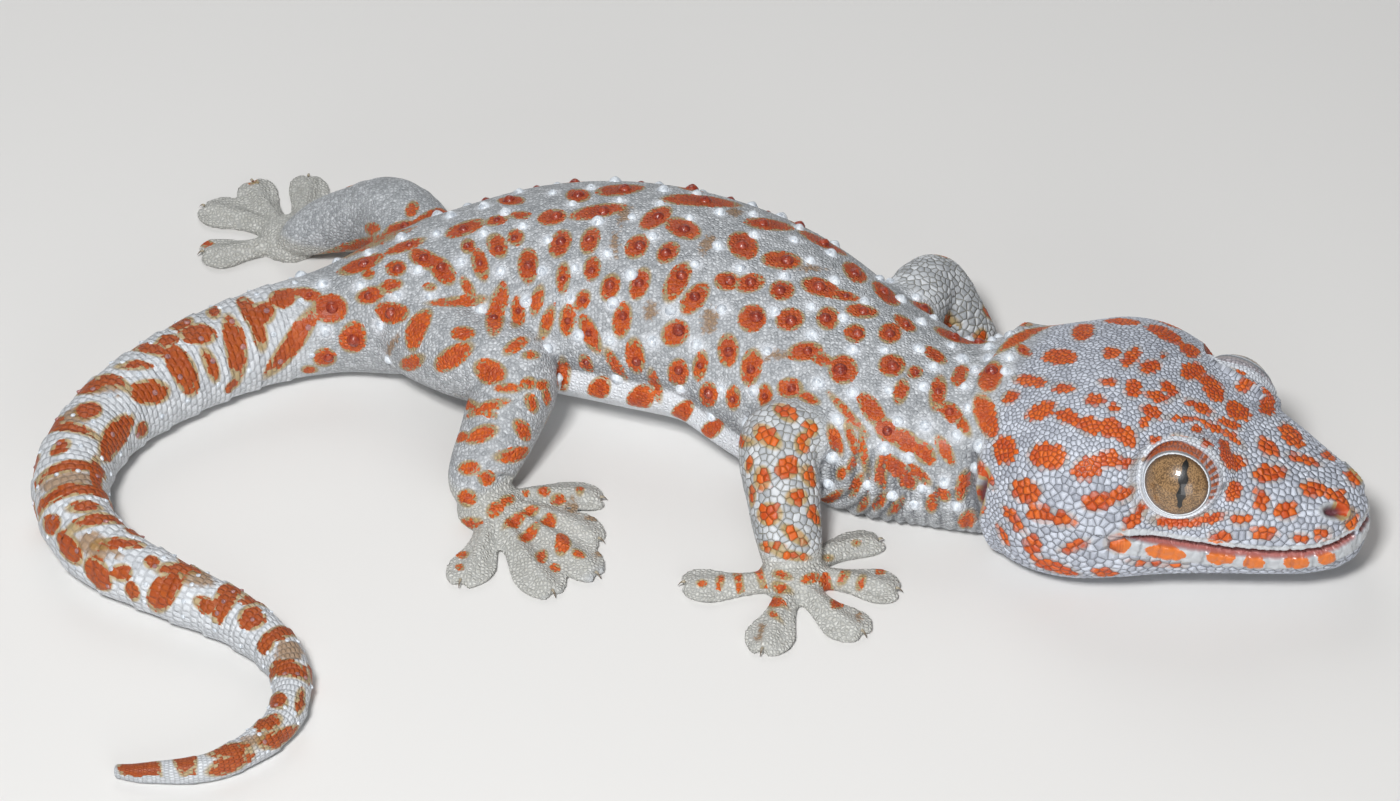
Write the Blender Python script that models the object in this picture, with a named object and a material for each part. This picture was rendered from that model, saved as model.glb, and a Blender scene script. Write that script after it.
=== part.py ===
"""A tokay gecko at rest on flat ground, life size, as separate named solids.

The spine runs in a plan curve from the tail tip to the head. Trunk, neck and
tail are lofts over that curve, the head is a loft along its own axis, and each
limb is a bent tube that ends in a foot with five broad toe pads. Sizes below are
in millimetres; X is to the animal's front, Y to its left and Z up.
"""

import math
from collections import namedtuple

import bmesh
import bpy
import numpy as np

MM = 0.001
GAP = 0.3
HALF_GAP = 0.017

# Plan centre of the whole animal, which becomes the origin on the ground.
PLAN_CENTRE = (-0.5, -10.7)

# One cross-section of the spine: plan place, underside, back, half width.
Section = namedtuple("Section", "x y low high half")

SPINE = [
    Section(-70.0, -67.0, -0.1, 1.6, 0.8),
    Section(-65.6, -67.6, -0.3, 2.5, 1.2),
    Section(-57.5, -66.6, -0.3, 3.4, 1.7),
    Section(-50.6, -60.3, -0.3, 4.4, 2.15),
    Section(-50.2, -51.5, -0.3, 5.3, 2.6),
    Section(-56.5, -44.0, -0.3, 6.3, 3.2),
    Section(-66.3, -38.3, -0.3, 7.4, 3.7),
    Section(-75.8, -31.6, -0.3, 8.8, 4.4),
    Section(-79.9, -21.0, -0.3, 9.6, 4.9),
    Section(-76.5, -9.5, -0.3, 10.2, 5.1),
    Section(-68.0, -0.5, -0.3, 11.2, 5.7),
    Section(-58.0, 5.8, -0.3, 12.0, 6.1),
    Section(-49.0, 8.8, -0.3, 13.0, 6.8),
    Section(-41.5, 10.4, -0.5, 15.5, 9.5),
    Section(-32.0, 11.8, -0.7, 18.0, 12.5),
    Section(-19.0, 11.8, -1.0, 21.0, 16.0),
    Section(-6.5, 9.0, -1.0, 22.5, 17.2),
    Section(5.5, 4.0, -1.0, 22.0, 16.6),
    Section(15.5, -4.0, -2.6, 20.0, 16.2),
    Section(24.6, -10.2, -3.6, 18.0, 15.2),
    Section(32.6, -13.6, -3.4, 16.9, 13.4),
    Section(41.0, -14.8, -2.6, 18.0, 15.0),
    Section(49.0, -17.0, -1.8, 18.6, 15.4),
]
TAIL_CUTS = (0.0, 4.0, 7.0, 9.8, 12.3)
TRUNK_FROM = 12.3
NECK_FROM = 18.9
NECK_TO = 21.2

# The head's own axis starts at the nape and points to the snout.
HEAD_PLACE = (40.4, -13.6)
HEAD_YAW = math.radians(-24.5)
HEAD_LIFT = math.radians(3.0)
HEAD_ROLL = math.radians(4.0)
HEAD_SIDES = 32
HeadSection = namedtuple("HeadSection", "along low high half waist")
HEAD = [
    HeadSection(0.0, -2.2, 18.4, 15.6, 0.40),
    HeadSection(5.0, -4.0, 20.0, 18.2, 0.37),
    HeadSection(10.0, -4.4, 21.6, 19.8, 0.38),
    HeadSection(15.0, -4.0, 22.1, 19.6, 0.38),
    HeadSection(20.0, -3.0, 21.2, 17.9, 0.38),
    HeadSection(25.0, -2.2, 19.2, 15.4, 0.40),
    HeadSection(30.5, -1.6, 16.4, 12.8, 0.42),
    HeadSection(36.0, -1.1, 14.1, 10.4, 0.44),
    HeadSection(41.0, -0.6, 12.1, 8.0, 0.46),
    HeadSection(44.3, 0.2, 10.6, 5.6, 0.48),
    HeadSection(46.0, 1.4, 8.8, 3.2, 0.48),
]
SNOUT_TIP = (46.6, 4.7)

EYE_PLACE = (25.6, 9.4, 13.5)
EYE_RADIUS = 5.1
EYE_LOOK = (0.22, 0.92, 0.30)
ORBIT_RADII = (6.6, 5.2, 5.5)
RIM_RADIUS = 4.35
RIM_THICK = 0.7
NOSTRIL_PLACE = (43.2, 3.6, 9.7)
NOSTRIL_RADIUS = 1.05
EAR_PLACE = (3.0, 16.6, 7.6)
EAR_RADII = (1.0, 2.0, 2.8)
MOUTH_LINE = ((17.0, 8.9), (23.0, 8.5), (27.3, 7.4), (32.5, 6.2), (38.0, 5.5), (43.0, 5.5), (46.4, 6.4))
MOUTH_DEPTH = 1.3
MOUTH_GAPE = 0.45
LIP_DEEP = 1.7
LIP_PROUD = 0.4

TUBERCLE_RADIUS = 1.05
TUBERCLE_HEIGHT = 0.75
TUBERCLE_ROWS = (-68, -48, -29, -10, 10, 29, 48, 68)
TUBERCLES_IN_ROW = 12
TAIL_WHORLS = 10
TAIL_WHORL_ROWS = (-52, -18, 18, 52)

# A limb's bend points with their height above ground, and its half widths there.
Bend = namedtuple("Bend", "x y z wide deep")
Limb = namedtuple("Limb", "name bends root palm toes claw")
Toe = namedtuple("Toe", "x y bend pad")

FRONT_RIGHT = Limb(
    "front_right",
    [
        Bend(24.5, -9.0, 8.0, 5.6, 5.2),
        Bend(17.0, -16.2, 10.0, 5.2, 5.0),
        Bend(10.4, -19.4, 10.6, 5.2, 4.8),
        Bend(10.6, -26.2, 6.4, 4.6, 4.0),
        Bend(11.4, -31.4, 3.2, 4.0, 2.8),
    ],
    "shoulder",
    (11.8, -33.6),
    [
        Toe(23.4, -26.8, 0.10, 2.5),
        Toe(25.4, -36.2, 0.04, 3.0),
        Toe(20.6, -44.2, -0.06, 3.1),
        Toe(7.4, -47.4, 0.02, 3.2),
        Toe(-2.8, -35.0, 0.05, 2.9),
    ],
    0.9,
)
FRONT_LEFT = Limb(
    "front_left",
    [
        Bend(22.0, -3.0, 7.6, 5.6, 5.4),
        Bend(27.0, 5.6, 9.4, 4.9, 4.8),
        Bend(30.8, 12.0, 9.6, 4.1, 4.0),
        Bend(34.0, 9.6, 6.4, 3.7, 3.5),
        Bend(36.4, 7.0, 3.2, 3.5, 2.7),
    ],
    "shoulder",
    (37.6, 5.4),
    [
        Toe(49.6, 3.2, -0.08, 2.4),
        Toe(50.8, 8.2, -0.04, 2.8),
        Toe(46.6, 11.2, 0.05, 2.7),
        Toe(36.2, 15.8, 0.04, 2.8),
        Toe(27.6, 10.2, 0.03, 2.7),
    ],
    0.9,
)
HIND_RIGHT = Limb(
    "hind_right",
    [
        Bend(-38.5, 7.0, 8.0, 7.0, 6.4),
        Bend(-30.5, -0.6, 9.4, 6.4, 5.8),
        Bend(-23.8, -5.4, 9.8, 5.6, 5.2),
        Bend(-25.6, -12.4, 6.6, 5.0, 4.2),
        Bend(-28.0, -18.2, 3.4, 4.2, 2.9),
    ],
    "hip",
    (-26.6, -21.0),
    [
        Toe(-11.8, -19.4, 0.10, 2.6),
        Toe(-12.0, -27.4, 0.08, 2.9),
        Toe(-12.4, -33.8, 0.04, 3.0),
        Toe(-18.0, -37.2, -0.02, 3.3),
        Toe(-30.2, -35.4, 0.06, 3.1),
    ],
    0.9,
)
HIND_LEFT = Limb(
    "hind_left",
    [
        Bend(-37.5, 13.0, 8.0, 7.0, 6.2),
        Bend(-38.2, 21.6, 8.6, 6.2, 5.6),
        Bend(-42.0, 28.2, 8.2, 5.4, 4.9),
        Bend(-48.0, 30.6, 5.4, 4.7, 3.9),
        Bend(-53.4, 31.2, 3.2, 4.1, 2.8),
    ],
    "hip",
    (-56.0, 32.4),
    [
        Toe(-46.6, 42.6, 0.06, 2.6),
        Toe(-54.4, 46.6, -0.05, 2.9),
        Toe(-62.6, 45.4, 0.04, 3.0),
        Toe(-69.2, 39.6, -0.04, 3.3),
        Toe(-68.6, 29.2, 0.06, 3.1),
    ],
    0.9,
)

PALM_HIGH = 3.2
TOE_HIGH = 2.5
TOE_EDGE = 0.75
TOE_NECK = 1.75


def clear_scene():
    """Remove every object of the start-up scene."""
    for obj in list(bpy.data.objects):
        bpy.data.objects.remove(obj)


def finish_material(name, colour, roughness):
    """A Principled material with one colour."""
    material = bpy.data.materials.new(name)
    material.use_nodes = True
    shader = material.node_tree.nodes["Principled BSDF"]
    shader.inputs["Base Color"].default_value = (*colour, 1.0)
    shader.inputs["Roughness"].default_value = roughness
    return material


def spline(rows, at):
    """Catmull-Rom values of the rows at the places `at`, counted in rows."""
    rows = np.asarray(rows, float)
    at = np.clip(np.asarray(at, float), 0, len(rows) - 1)
    first = np.minimum(at.astype(int), len(rows) - 2)
    t = (at - first)[:, None]
    padded = np.vstack([2 * rows[0] - rows[1], rows, 2 * rows[-1] - rows[-2]])
    a, b, c, d = (padded[first + k] for k in range(4))
    return 0.5 * (
        2 * b + (c - a) * t + (2 * a - 5 * b + 4 * c - d) * t**2 + (3 * b - a - 3 * c + d) * t**3
    )


def mesh_object(name, points, faces):
    """An object from points in millimetres, with its faces pointing out."""
    points = np.asarray(points, float) - np.array([*PLAN_CENTRE, 0.0])
    mesh = bpy.data.meshes.new(name)
    mesh.from_pydata([tuple(p * MM) for p in points], [], faces)
    body = bmesh.new()
    body.from_mesh(mesh)
    bmesh.ops.recalc_face_normals(body, faces=body.faces)
    bmesh.ops.triangulate(body, faces=[f for f in body.faces if len(f.verts) > 4])
    body.to_mesh(mesh)
    body.free()
    obj = bpy.data.objects.new(name, mesh)
    bpy.context.scene.collection.objects.link(obj)
    return obj


def loft(name, rings, tip=None):
    """A closed body through rings of points, ending in a cap or at a tip point."""
    sides = len(rings[0])
    points = [p for ring in rings for p in ring]
    faces = [tuple(range(sides))]
    for row in range(len(rings) - 1):
        for k in range(sides):
            after = (k + 1) % sides
            faces.append(
                (row * sides + k, (row + 1) * sides + k, (row + 1) * sides + after, row * sides + after)
            )
    last = (len(rings) - 1) * sides
    if tip is None:
        faces.append(tuple(range(last, last + sides)))
    else:
        points.append(tip)
        faces += [(last + k, last + sides, last + (k + 1) % sides) for k in range(sides)]
    return mesh_object(name, points, faces)


def oval(angle, power):
    """The unit superellipse's two coordinates at an angle."""
    across = math.copysign(abs(math.cos(angle)) ** (2 / power), math.cos(angle))
    up = math.copysign(abs(math.sin(angle)) ** (2 / power), math.sin(angle))
    return across, up


def section_ring(centre, side, low, high, half, waist, sides, power=2.2, grow=0.0, floor=0.0):
    """Points of an upright section, flat where it lies on the ground."""
    middle = low + waist * (high - low)
    ring = []
    for k in range(sides):
        across, up = oval(2 * math.pi * (k + 0.5) / sides, power)
        reach = (high - middle if up > 0 else middle - low) + grow
        x, y = np.asarray(centre) + np.asarray(side) * across * (half + grow)
        ring.append((x, y, max(middle + up * reach, floor - grow)))
    return ring


def spine_rings(start, stop, count, sides, grow=0.0):
    """Upright rings across the spine between two places on it."""
    at = np.linspace(start, stop, count)
    rows = spline([tuple(s) for s in SPINE], at)
    ways = spline([tuple(s[:2]) for s in SPINE], at + 1e-3) - spline([tuple(s[:2]) for s in SPINE], at - 1e-3)
    rings = []
    for (x, y, low, high, half), way in zip(rows, ways):
        side = np.array([-way[1], way[0]]) / np.linalg.norm(way)
        rings.append(section_ring((x, y), side, low, high, half, 0.46, sides, grow=grow))
    return rings


def spine_place(at, angle_deg):
    """The skin point and outward direction at a place on the spine and an angle from the top."""
    row, after = spline([tuple(s) for s in SPINE], [at, at + 1e-3])
    way = after[:2] - row[:2]
    side = np.array([-way[1], way[0]]) / np.linalg.norm(way)
    x, y, low, high, half = row
    middle = low + 0.46 * (high - low)
    across, up = oval(math.radians(90 - angle_deg), 2.2)
    point = np.array([x + side[0] * across * half, y + side[1] * across * half, middle + up * (high - middle)])
    out = np.array([side[0] * across / half, side[1] * across / half, up / (high - middle)])
    return point, out / np.linalg.norm(out)


def limb_length(name, bends, sides=12, grow=0.0):
    """A rounded length of limb through its bend points, square to its own line."""
    rows = spline([tuple(b) for b in bends], np.linspace(0, len(bends) - 1, 8))
    ways = np.gradient(rows[:, :3], axis=0)
    ways /= np.linalg.norm(ways, axis=1)[:, None]
    ends = [(0, -turn) for turn in (72, 38)] + [(k, 0) for k in range(8)]
    ends += [(7, turn) for turn in (38, 72)]
    rings = []
    for index, turn in ends:
        row, way = rows[index], ways[index]
        across, along = math.cos(math.radians(turn)), math.sin(math.radians(turn))
        side = np.cross((0, 0, 1), way)
        side = side / np.linalg.norm(side)
        up = np.cross(way, side)
        middle = row[:3] + way * along * (row[4] + grow)
        ring = []
        for k in range(sides):
            wide, deep = oval(2 * math.pi * (k + 0.5) / sides, 2.2)
            point = middle + side * wide * (row[3] + grow) * across + up * deep * (row[4] + grow) * across
            point[2] = max(point[2], -grow)
            ring.append(tuple(point))
        rings.append(ring)
    return loft(name, rings)


def ball(name, centre, radii, rows=8, sides=12, axis=(0.0, 0.0, 1.0)):
    """An ellipsoid whose pole points along an axis."""
    axis = np.asarray(axis, float) / np.linalg.norm(axis)
    first = np.cross(axis, (1.0, 0.0, 0.0) if abs(axis[0]) < 0.9 else (0.0, 1.0, 0.0))
    first /= np.linalg.norm(first)
    second = np.cross(axis, first)
    rings = []
    for row in range(1, rows):
        polar = math.pi * row / rows
        ring = []
        for k in range(sides):
            turn = 2 * math.pi * k / sides
            way = (
                first * math.cos(turn) * math.sin(polar)
                + second * math.sin(turn) * math.sin(polar)
                - axis * math.cos(polar)
            )
            ring.append(tuple(np.asarray(centre) + way * np.asarray(radii)))
        rings.append(ring)
    start = tuple(np.asarray(centre) - axis * np.asarray(radii))
    stop = tuple(np.asarray(centre) + axis * np.asarray(radii))
    return closed_loft(name, start, rings, stop)


def closed_loft(name, start, rings, stop):
    """A body through rings with a point at each end."""
    sides = len(rings[0])
    points = [start] + [p for ring in rings for p in ring] + [stop]
    faces = [(0, 1 + (k + 1) % sides, 1 + k) for k in range(sides)]
    for row in range(len(rings) - 1):
        for k in range(sides):
            here, there = 1 + row * sides, 1 + (row + 1) * sides
            after = (k + 1) % sides
            faces.append((here + k, here + after, there + after, there + k))
    last = 1 + (len(rings) - 1) * sides
    faces += [(last + k, last + (k + 1) % sides, len(points) - 1) for k in range(sides)]
    return mesh_object(name, points, faces)


def boolean(obj, others, operation):
    """Join or cut an object with others, which are used up, and keep its largest closed surface."""
    tools = bpy.data.collections.new(obj.name + "_tools")
    bpy.context.scene.collection.children.link(tools)
    for other in others:
        bpy.context.scene.collection.objects.unlink(other)
        tools.objects.link(other)
    modifier = obj.modifiers.new("join", "BOOLEAN")
    modifier.operation = operation
    modifier.solver = "MANIFOLD"
    modifier.operand_type = "COLLECTION"
    modifier.collection = tools
    graph = bpy.context.evaluated_depsgraph_get()
    result = bpy.data.meshes.new_from_object(obj.evaluated_get(graph))
    obj.modifiers.clear()
    obj.data = result
    for other in list(tools.objects):
        bpy.data.objects.remove(other)
    bpy.data.collections.remove(tools)
    keep_largest(obj)


def keep_largest(obj):
    """Drop every loose scrap but the largest closed surface."""
    body = bmesh.new()
    body.from_mesh(obj.data)
    left = set(body.verts)
    islands = []
    while left:
        island = {left.pop()}
        edge = list(island)
        while edge:
            near = [e.other_vert(v) for v in edge for e in v.link_edges]
            edge = [v for v in set(near) if v in left]
            left.difference_update(edge)
            island.update(edge)
        islands.append(island)
    islands.sort(key=len)
    scraps = [v for island in islands[:-1] for v in island]
    bmesh.ops.delete(body, geom=scraps, context="VERTS")
    body.to_mesh(obj.data)
    body.free()


def tubercle(name, point, out, radius, height):
    """A low five-sided cone with a blunt top, its root sunk in the skin."""
    first = np.cross(out, (1.0, 0.0, 0.0) if abs(out[0]) < 0.9 else (0.0, 1.0, 0.0))
    first /= np.linalg.norm(first)
    second = np.cross(out, first)
    rings = []
    for wide, rise in ((1.05, -0.8), (0.72, 0.62)):
        ring = []
        for k in range(5):
            turn = math.radians(72 * k + 17)
            offset = first * math.cos(turn) + second * math.sin(turn)
            ring.append(tuple(point + offset * radius * wide + out * height * rise))
        rings.append(ring)
    return loft(name, rings, tip=tuple(point + out * height))


def clear_of_limbs(point):
    """Whether a tubercle at this point stays away from every limb."""
    for limb in (FRONT_RIGHT, FRONT_LEFT, HIND_RIGHT, HIND_LEFT):
        rows = spline([tuple(b) for b in limb.bends], np.linspace(0, len(limb.bends) - 1, 25))
        away = np.linalg.norm(rows[:, :3] - point, axis=1) - rows[:, 3]
        if away.min() < 2.0 * TUBERCLE_RADIUS:
            return False
    return True


def make_trunk():
    """The trunk with its rows of raised tubercles."""
    trunk = loft("torso", spine_rings(TRUNK_FROM + HALF_GAP, NECK_FROM - HALF_GAP, 26, 24))
    bumps = []
    for row, angle in enumerate(TUBERCLE_ROWS):
        for k in range(TUBERCLES_IN_ROW):
            at = TRUNK_FROM + 0.3 + (k + 0.5 * (row % 2)) * 6.1 / TUBERCLES_IN_ROW
            lean = 3.0 * math.sin(2.3 * k + row)
            point, out = spine_place(at, angle + lean)
            if not clear_of_limbs(point):
                continue
            size = 1.0 - 0.12 * math.cos(1.7 * k + 2.9 * row)
            bumps.append(
                tubercle("bump", point, out, TUBERCLE_RADIUS * size, TUBERCLE_HEIGHT * size)
            )
    boolean(trunk, bumps, "UNION")
    return trunk


def make_neck():
    """The short neck between the trunk and the head."""
    neck = loft("neck", spine_rings(NECK_FROM + HALF_GAP, NECK_TO, 9, 24))
    tip = tuple(head_to_world([(SNOUT_TIP[0], 0.0, SNOUT_TIP[1])])[0])
    boolean(neck, [loft("head_cutter", head_rings(0.0, HEAD[-1].along, 20, GAP), tip)], "DIFFERENCE")
    return neck


def make_tail():
    """The tail in four lengths, each with its whorls of tubercles."""
    lengths = []
    for index, (start, stop) in enumerate(zip(TAIL_CUTS, TAIL_CUTS[1:])):
        first = index == 0
        rings = spine_rings(start if first else start + HALF_GAP, stop - HALF_GAP, 15, 18)
        row = SPINE[0]
        tip = (row.x - 0.9, row.y + 0.05, 0.6)
        length = loft(f"tail_{4 - index}", rings[::-1] if first else rings, tip if first else None)
        bumps = []
        for whorl in range(TAIL_WHORLS):
            at = 11.8 - whorl * 0.82
            if not start + 0.18 < at < stop - 0.18:
                continue
            for angle in TAIL_WHORL_ROWS:
                point, out = spine_place(at, angle)
                size = 0.95 - 0.045 * whorl
                bumps.append(
                    tubercle("bump", point, out, TUBERCLE_RADIUS * size, TUBERCLE_HEIGHT * size)
                )
        if bumps:
            boolean(length, bumps, "UNION")
        lengths.append(length)
    return lengths


def head_to_world(points):
    """Turn points along the head's own axis into the animal's place."""
    points = np.atleast_2d(np.asarray(points, float))
    along, across, up = points.T
    c, s = math.cos(HEAD_ROLL), math.sin(HEAD_ROLL)
    across, up = across * c + up * s, up * c - across * s
    c, s = math.cos(HEAD_LIFT), math.sin(HEAD_LIFT)
    along, up = along * c - up * s, up * c + along * s
    c, s = math.cos(HEAD_YAW), math.sin(HEAD_YAW)
    x = HEAD_PLACE[0] + along * c - across * s
    y = HEAD_PLACE[1] + along * s + across * c
    return np.stack([x, y, up], 1)


def head_rings(start, stop, count, grow=0.0):
    """Rings across the head between two places along its axis."""
    wanted = np.linspace(start, stop, count)
    places = np.array([s.along for s in HEAD])
    at = np.interp(wanted, places, np.arange(len(HEAD)))
    rings = []
    for along, low, high, half, waist in spline([tuple(s) for s in HEAD], at):
        ring = section_ring((0, 0), (0, 1), low, high, half, waist, HEAD_SIDES, 2.35, grow, -9.0)
        ring = head_to_world([(along, y, z) for _, y, z in ring])
        ring[:, 2] = np.maximum(ring[:, 2], -grow)
        rings.append([tuple(p) for p in ring])
    return rings


def mouth_path():
    """Points and outward directions of the mouth's line, from the right corner to the left."""
    places = [s.along for s in HEAD]
    right = []
    for along in np.linspace(MOUTH_LINE[0][0], 46.0, 17):
        height = np.interp(along, *zip(*MOUTH_LINE))
        at = np.interp(along, places, np.arange(len(HEAD)))
        _, low, high, half, waist = spline([tuple(s) for s in HEAD], [at])[0]
        middle = low + waist * (high - low)
        reach = high - middle if height > middle else middle - low
        inset = (1 - abs((height - middle) / reach) ** 2.35) ** (1 / 2.35)
        right.append((along, -half * inset, height))
    left = [(along, -across, height) for along, across, height in right][::-1]
    line = np.array(right + [(SNOUT_TIP[0], 0.0, MOUTH_LINE[-1][1])] + left)
    way = np.gradient(line[:, :2], axis=0)
    out = np.stack([way[:, 1], -way[:, 0]], 1)
    return line, out / np.linalg.norm(out, axis=1)[:, None]


def mouth_sweep(name, section):
    """A body that follows the mouth, its section tapering towards each corner."""
    rings = []
    line, ways = mouth_path()
    for (along, across, height), (ox, oy) in zip(line, ways):
        ease = 0.25 + 0.75 * min(1.0, (along - MOUTH_LINE[0][0]) / 9.0)
        ring = [
            (along + ox * reach * ease, across + oy * reach * ease, height + rise * ease)
            for reach, rise in section
        ]
        rings.append([tuple(p) for p in head_to_world(ring)])
    return loft(name, rings)


def lips():
    """The raised band of lip scales above and below the mouth."""
    low, far = -LIP_DEEP, LIP_PROUD
    section = [(-1.6, low - 0.5), (-0.1, low), (far, 0.6 * low), (far, -0.6 * low), (-0.1, -low), (-1.6, 0.5 - low)]
    return mouth_sweep("lips", section)


def mouth_blade():
    """The thin wedge that opens the mouth's line."""
    gape = MOUTH_GAPE
    return mouth_sweep("blade", [(-MOUTH_DEPTH, -0.3 * gape), (1.6, -gape), (1.6, gape), (-MOUTH_DEPTH, 0.3 * gape)])


def mirrored(point, side):
    """The same place on the left (side 1) or the right (side -1)."""
    return (point[0], side * point[1], point[2])


def rim_ring(side):
    """The raised ring of skin round one eye."""
    look = np.array(mirrored(EYE_LOOK, side))
    look /= np.linalg.norm(look)
    look_world = head_to_world([look])[0] - np.array([*HEAD_PLACE, 0.0])
    centre = head_to_world([mirrored(EYE_PLACE, side)])[0]
    lift = math.sqrt(EYE_RADIUS**2 - RIM_RADIUS**2) + 0.1
    first = np.cross(look_world, (0.0, 0.0, 1.0))
    first /= np.linalg.norm(first)
    second = np.cross(look_world, first)
    points, faces = [], []
    around, across = 20, 6
    for k in range(around):
        turn = 2 * math.pi * k / around
        out = first * math.cos(turn) + second * math.sin(turn)
        for j in range(across):
            roll = 2 * math.pi * j / across
            reach = RIM_RADIUS + RIM_THICK * (0.55 + math.cos(roll))
            rise = lift + RIM_THICK * math.sin(roll)
            points.append(centre + out * reach + look_world * rise)
            after, beside = (k + 1) % around, (j + 1) % across
            faces.append(
                (k * across + j, after * across + j, after * across + beside, k * across + beside)
            )
    return mesh_object("rim", points, faces)


def make_head():
    """The head with brows, eye rims, mouth line, nostrils and ear openings."""
    rings = head_rings(GAP, HEAD[-1].along, 23)
    tip = tuple(head_to_world([(SNOUT_TIP[0], 0.0, SNOUT_TIP[1])])[0])
    head = loft("head", rings, tip)
    raised, holes = [lips()], [mouth_blade()]
    for side in (-1, 1):
        place = head_to_world([mirrored(EYE_PLACE, side)])[0]
        look = np.array(mirrored(EYE_LOOK, side))
        look_world = head_to_world([look])[0] - np.array([*HEAD_PLACE, 0.0])
        inner = head_to_world([mirrored((EYE_PLACE[0], EYE_PLACE[1] - 1.3, EYE_PLACE[2] - 0.2), side)])[0]
        raised.append(ball("orbit", inner, ORBIT_RADII, 10, 18))
        raised.append(rim_ring(side))
        holes.append(ball("socket", place, [EYE_RADIUS + GAP] * 3, 12, 18, look_world))
        nostril = head_to_world([mirrored(NOSTRIL_PLACE, side)])[0]
        holes.append(ball("nostril", nostril, [NOSTRIL_RADIUS] * 3, 5, 8))
        ear = head_to_world([mirrored(EAR_PLACE, side)])[0]
        holes.append(ball("ear", ear, EAR_RADII, 6, 10))
    boolean(head, raised, "UNION")
    boolean(head, holes, "DIFFERENCE")
    return head


def make_eye(name, side):
    """One eyeball, its pole facing out of the head."""
    look = np.array(mirrored(EYE_LOOK, side))
    look_world = head_to_world([look])[0] - np.array([*HEAD_PLACE, 0.0])
    centre = head_to_world([mirrored(EYE_PLACE, side)])[0]
    return ball(name, centre, [EYE_RADIUS] * 3, 12, 18, look_world)


def toe_piece(limb, toe):
    """One toe: a ridge down the middle and a broad thin pad, flat below."""
    start = np.array(limb.palm)
    stop = np.array((toe.x, toe.y))
    length = np.linalg.norm(stop - start)
    way = (stop - start) / length
    side = np.array([-way[1], way[0]])
    rings = []
    for t in (0.12, 0.38, 0.58, 0.72, 0.84, 0.93, 0.985):
        middle = start + way * length * t + side * length * toe.bend * math.sin(math.pi * t)
        swell = math.exp(-(((t - 0.76) / 0.22) ** 2))
        blunt = math.sqrt(max(0.05, 1 - (max(0.0, t - 0.80) / 0.2) ** 2))
        half = (TOE_NECK + (toe.pad - TOE_NECK) * swell) * blunt
        ridge = (TOE_HIGH - 1.2 * t) * (0.45 + 0.55 * blunt)
        top = [
            (share, TOE_EDGE * blunt + (ridge - TOE_EDGE * blunt) * math.exp(-((share * half / 1.25) ** 2)))
            for share in (1.0, 0.5, 0.18, -0.18, -0.5, -1.0)
        ]
        bottom = [(share, 0.0) for share in (-0.9, 0.0, 0.9)]
        ring = []
        for share, height in top + bottom:
            x, y = middle + side * share * half
            ring.append((x, y, height))
        rings.append(ring)
    return loft("toe", rings)


def claw_piece(limb, toe):
    """A short claw that leaves the toe's end and points down."""
    start = np.array(limb.palm)
    stop = np.array((toe.x, toe.y))
    way = (stop - start) / np.linalg.norm(stop - start)
    side = np.array([-way[1], way[0]])
    rings = []
    for reach, half, middle in ((-1.6, 0.5, 0.95), (-0.6, 0.42, 0.95), (0.2, 0.3, 0.8)):
        ring = []
        for k in range(5):
            turn = 2 * math.pi * k / 5
            x, y = stop + way * reach + side * half * math.cos(turn)
            ring.append((x, y, middle + half * math.sin(turn)))
        rings.append(ring)
    x, y = stop + way * limb.claw
    return loft("claw", rings, tip=(x, y, 0.35))


def palm_piece(limb):
    """The flat palm or sole between the wrist and the toes."""
    x, y = limb.palm
    rings = []
    for reach, wide in ((0.0, 0.96), (0.35, 1.0), (0.7, 0.86), (0.93, 0.55)):
        ring = []
        for k in range(12):
            turn = 2 * math.pi * k / 12
            ring.append((x + 4.4 * wide * math.cos(turn), y + 4.4 * wide * math.sin(turn), PALM_HIGH * reach))
        rings.append(ring)
    return loft("palm", rings, tip=(x, y, PALM_HIGH))


def make_foot(limb):
    """A hand or foot, cut clear of the limb above it."""
    ankle = limb.bends[-1]
    sole = Bend(*limb.palm, 1.7, ankle.wide * 0.85, 1.6)
    name = limb.name + ("_hand" if limb.root == "shoulder" else "_foot")
    foot = limb_length(name, [ankle, sole], 12)
    pieces = [palm_piece(limb)]
    for toe in limb.toes:
        pieces.append(toe_piece(limb, toe))
        pieces.append(claw_piece(limb, toe))
    boolean(foot, pieces, "UNION")
    boolean(foot, [limb_length("shin_cutter", limb.bends[2:], grow=GAP)], "DIFFERENCE")
    return foot


def trunk_cutter():
    """The trunk and neck grown by the gap."""
    return loft("trunk_cutter", spine_rings(TRUNK_FROM - 1.0, 21.8, 32, 24, GAP))


def make_limb(limb):
    """Upper and lower limb and the foot, each clear of the piece it grows from."""
    names = ("upper_arm", "forearm") if limb.root == "shoulder" else ("thigh", "shank")
    upper = limb_length(f"{limb.name}_{names[0]}", limb.bends[:3])
    boolean(upper, [trunk_cutter()], "DIFFERENCE")
    lower = limb_length(f"{limb.name}_{names[1]}", limb.bends[2:])
    above = limb_length("upper_cutter", limb.bends[:3], grow=GAP)
    boolean(lower, [above, trunk_cutter()], "DIFFERENCE")
    return [upper, lower, make_foot(limb)]


def main():
    """Build every solid and give it its material."""
    clear_scene()
    skin = finish_material("skin", (0.60, 0.66, 0.68), 0.55)
    spot = finish_material("iris", (0.30, 0.20, 0.07), 0.12)
    solids = [make_trunk(), make_neck(), make_head()]
    solids += make_tail()
    for limb in (FRONT_RIGHT, FRONT_LEFT, HIND_RIGHT, HIND_LEFT):
        solids += make_limb(limb)
    for solid in solids:
        solid.data.materials.clear()
        solid.data.materials.append(skin)
    for name, side in (("eye_right", -1), ("eye_left", 1)):
        make_eye(name, side).data.materials.append(spot)


main()
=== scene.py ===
"""Dress the tokay gecko: one scaly skin with its markings, its tubercles, two eyes and the claws.

Sizes are in millimetres in the animal's own plan, X to its front, Y to its left and Z up.
Markings are read as pixels of the 1400 x 801 photograph, and cast on the skin through
the camera. What the photograph hides is marked by rule.
"""

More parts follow.
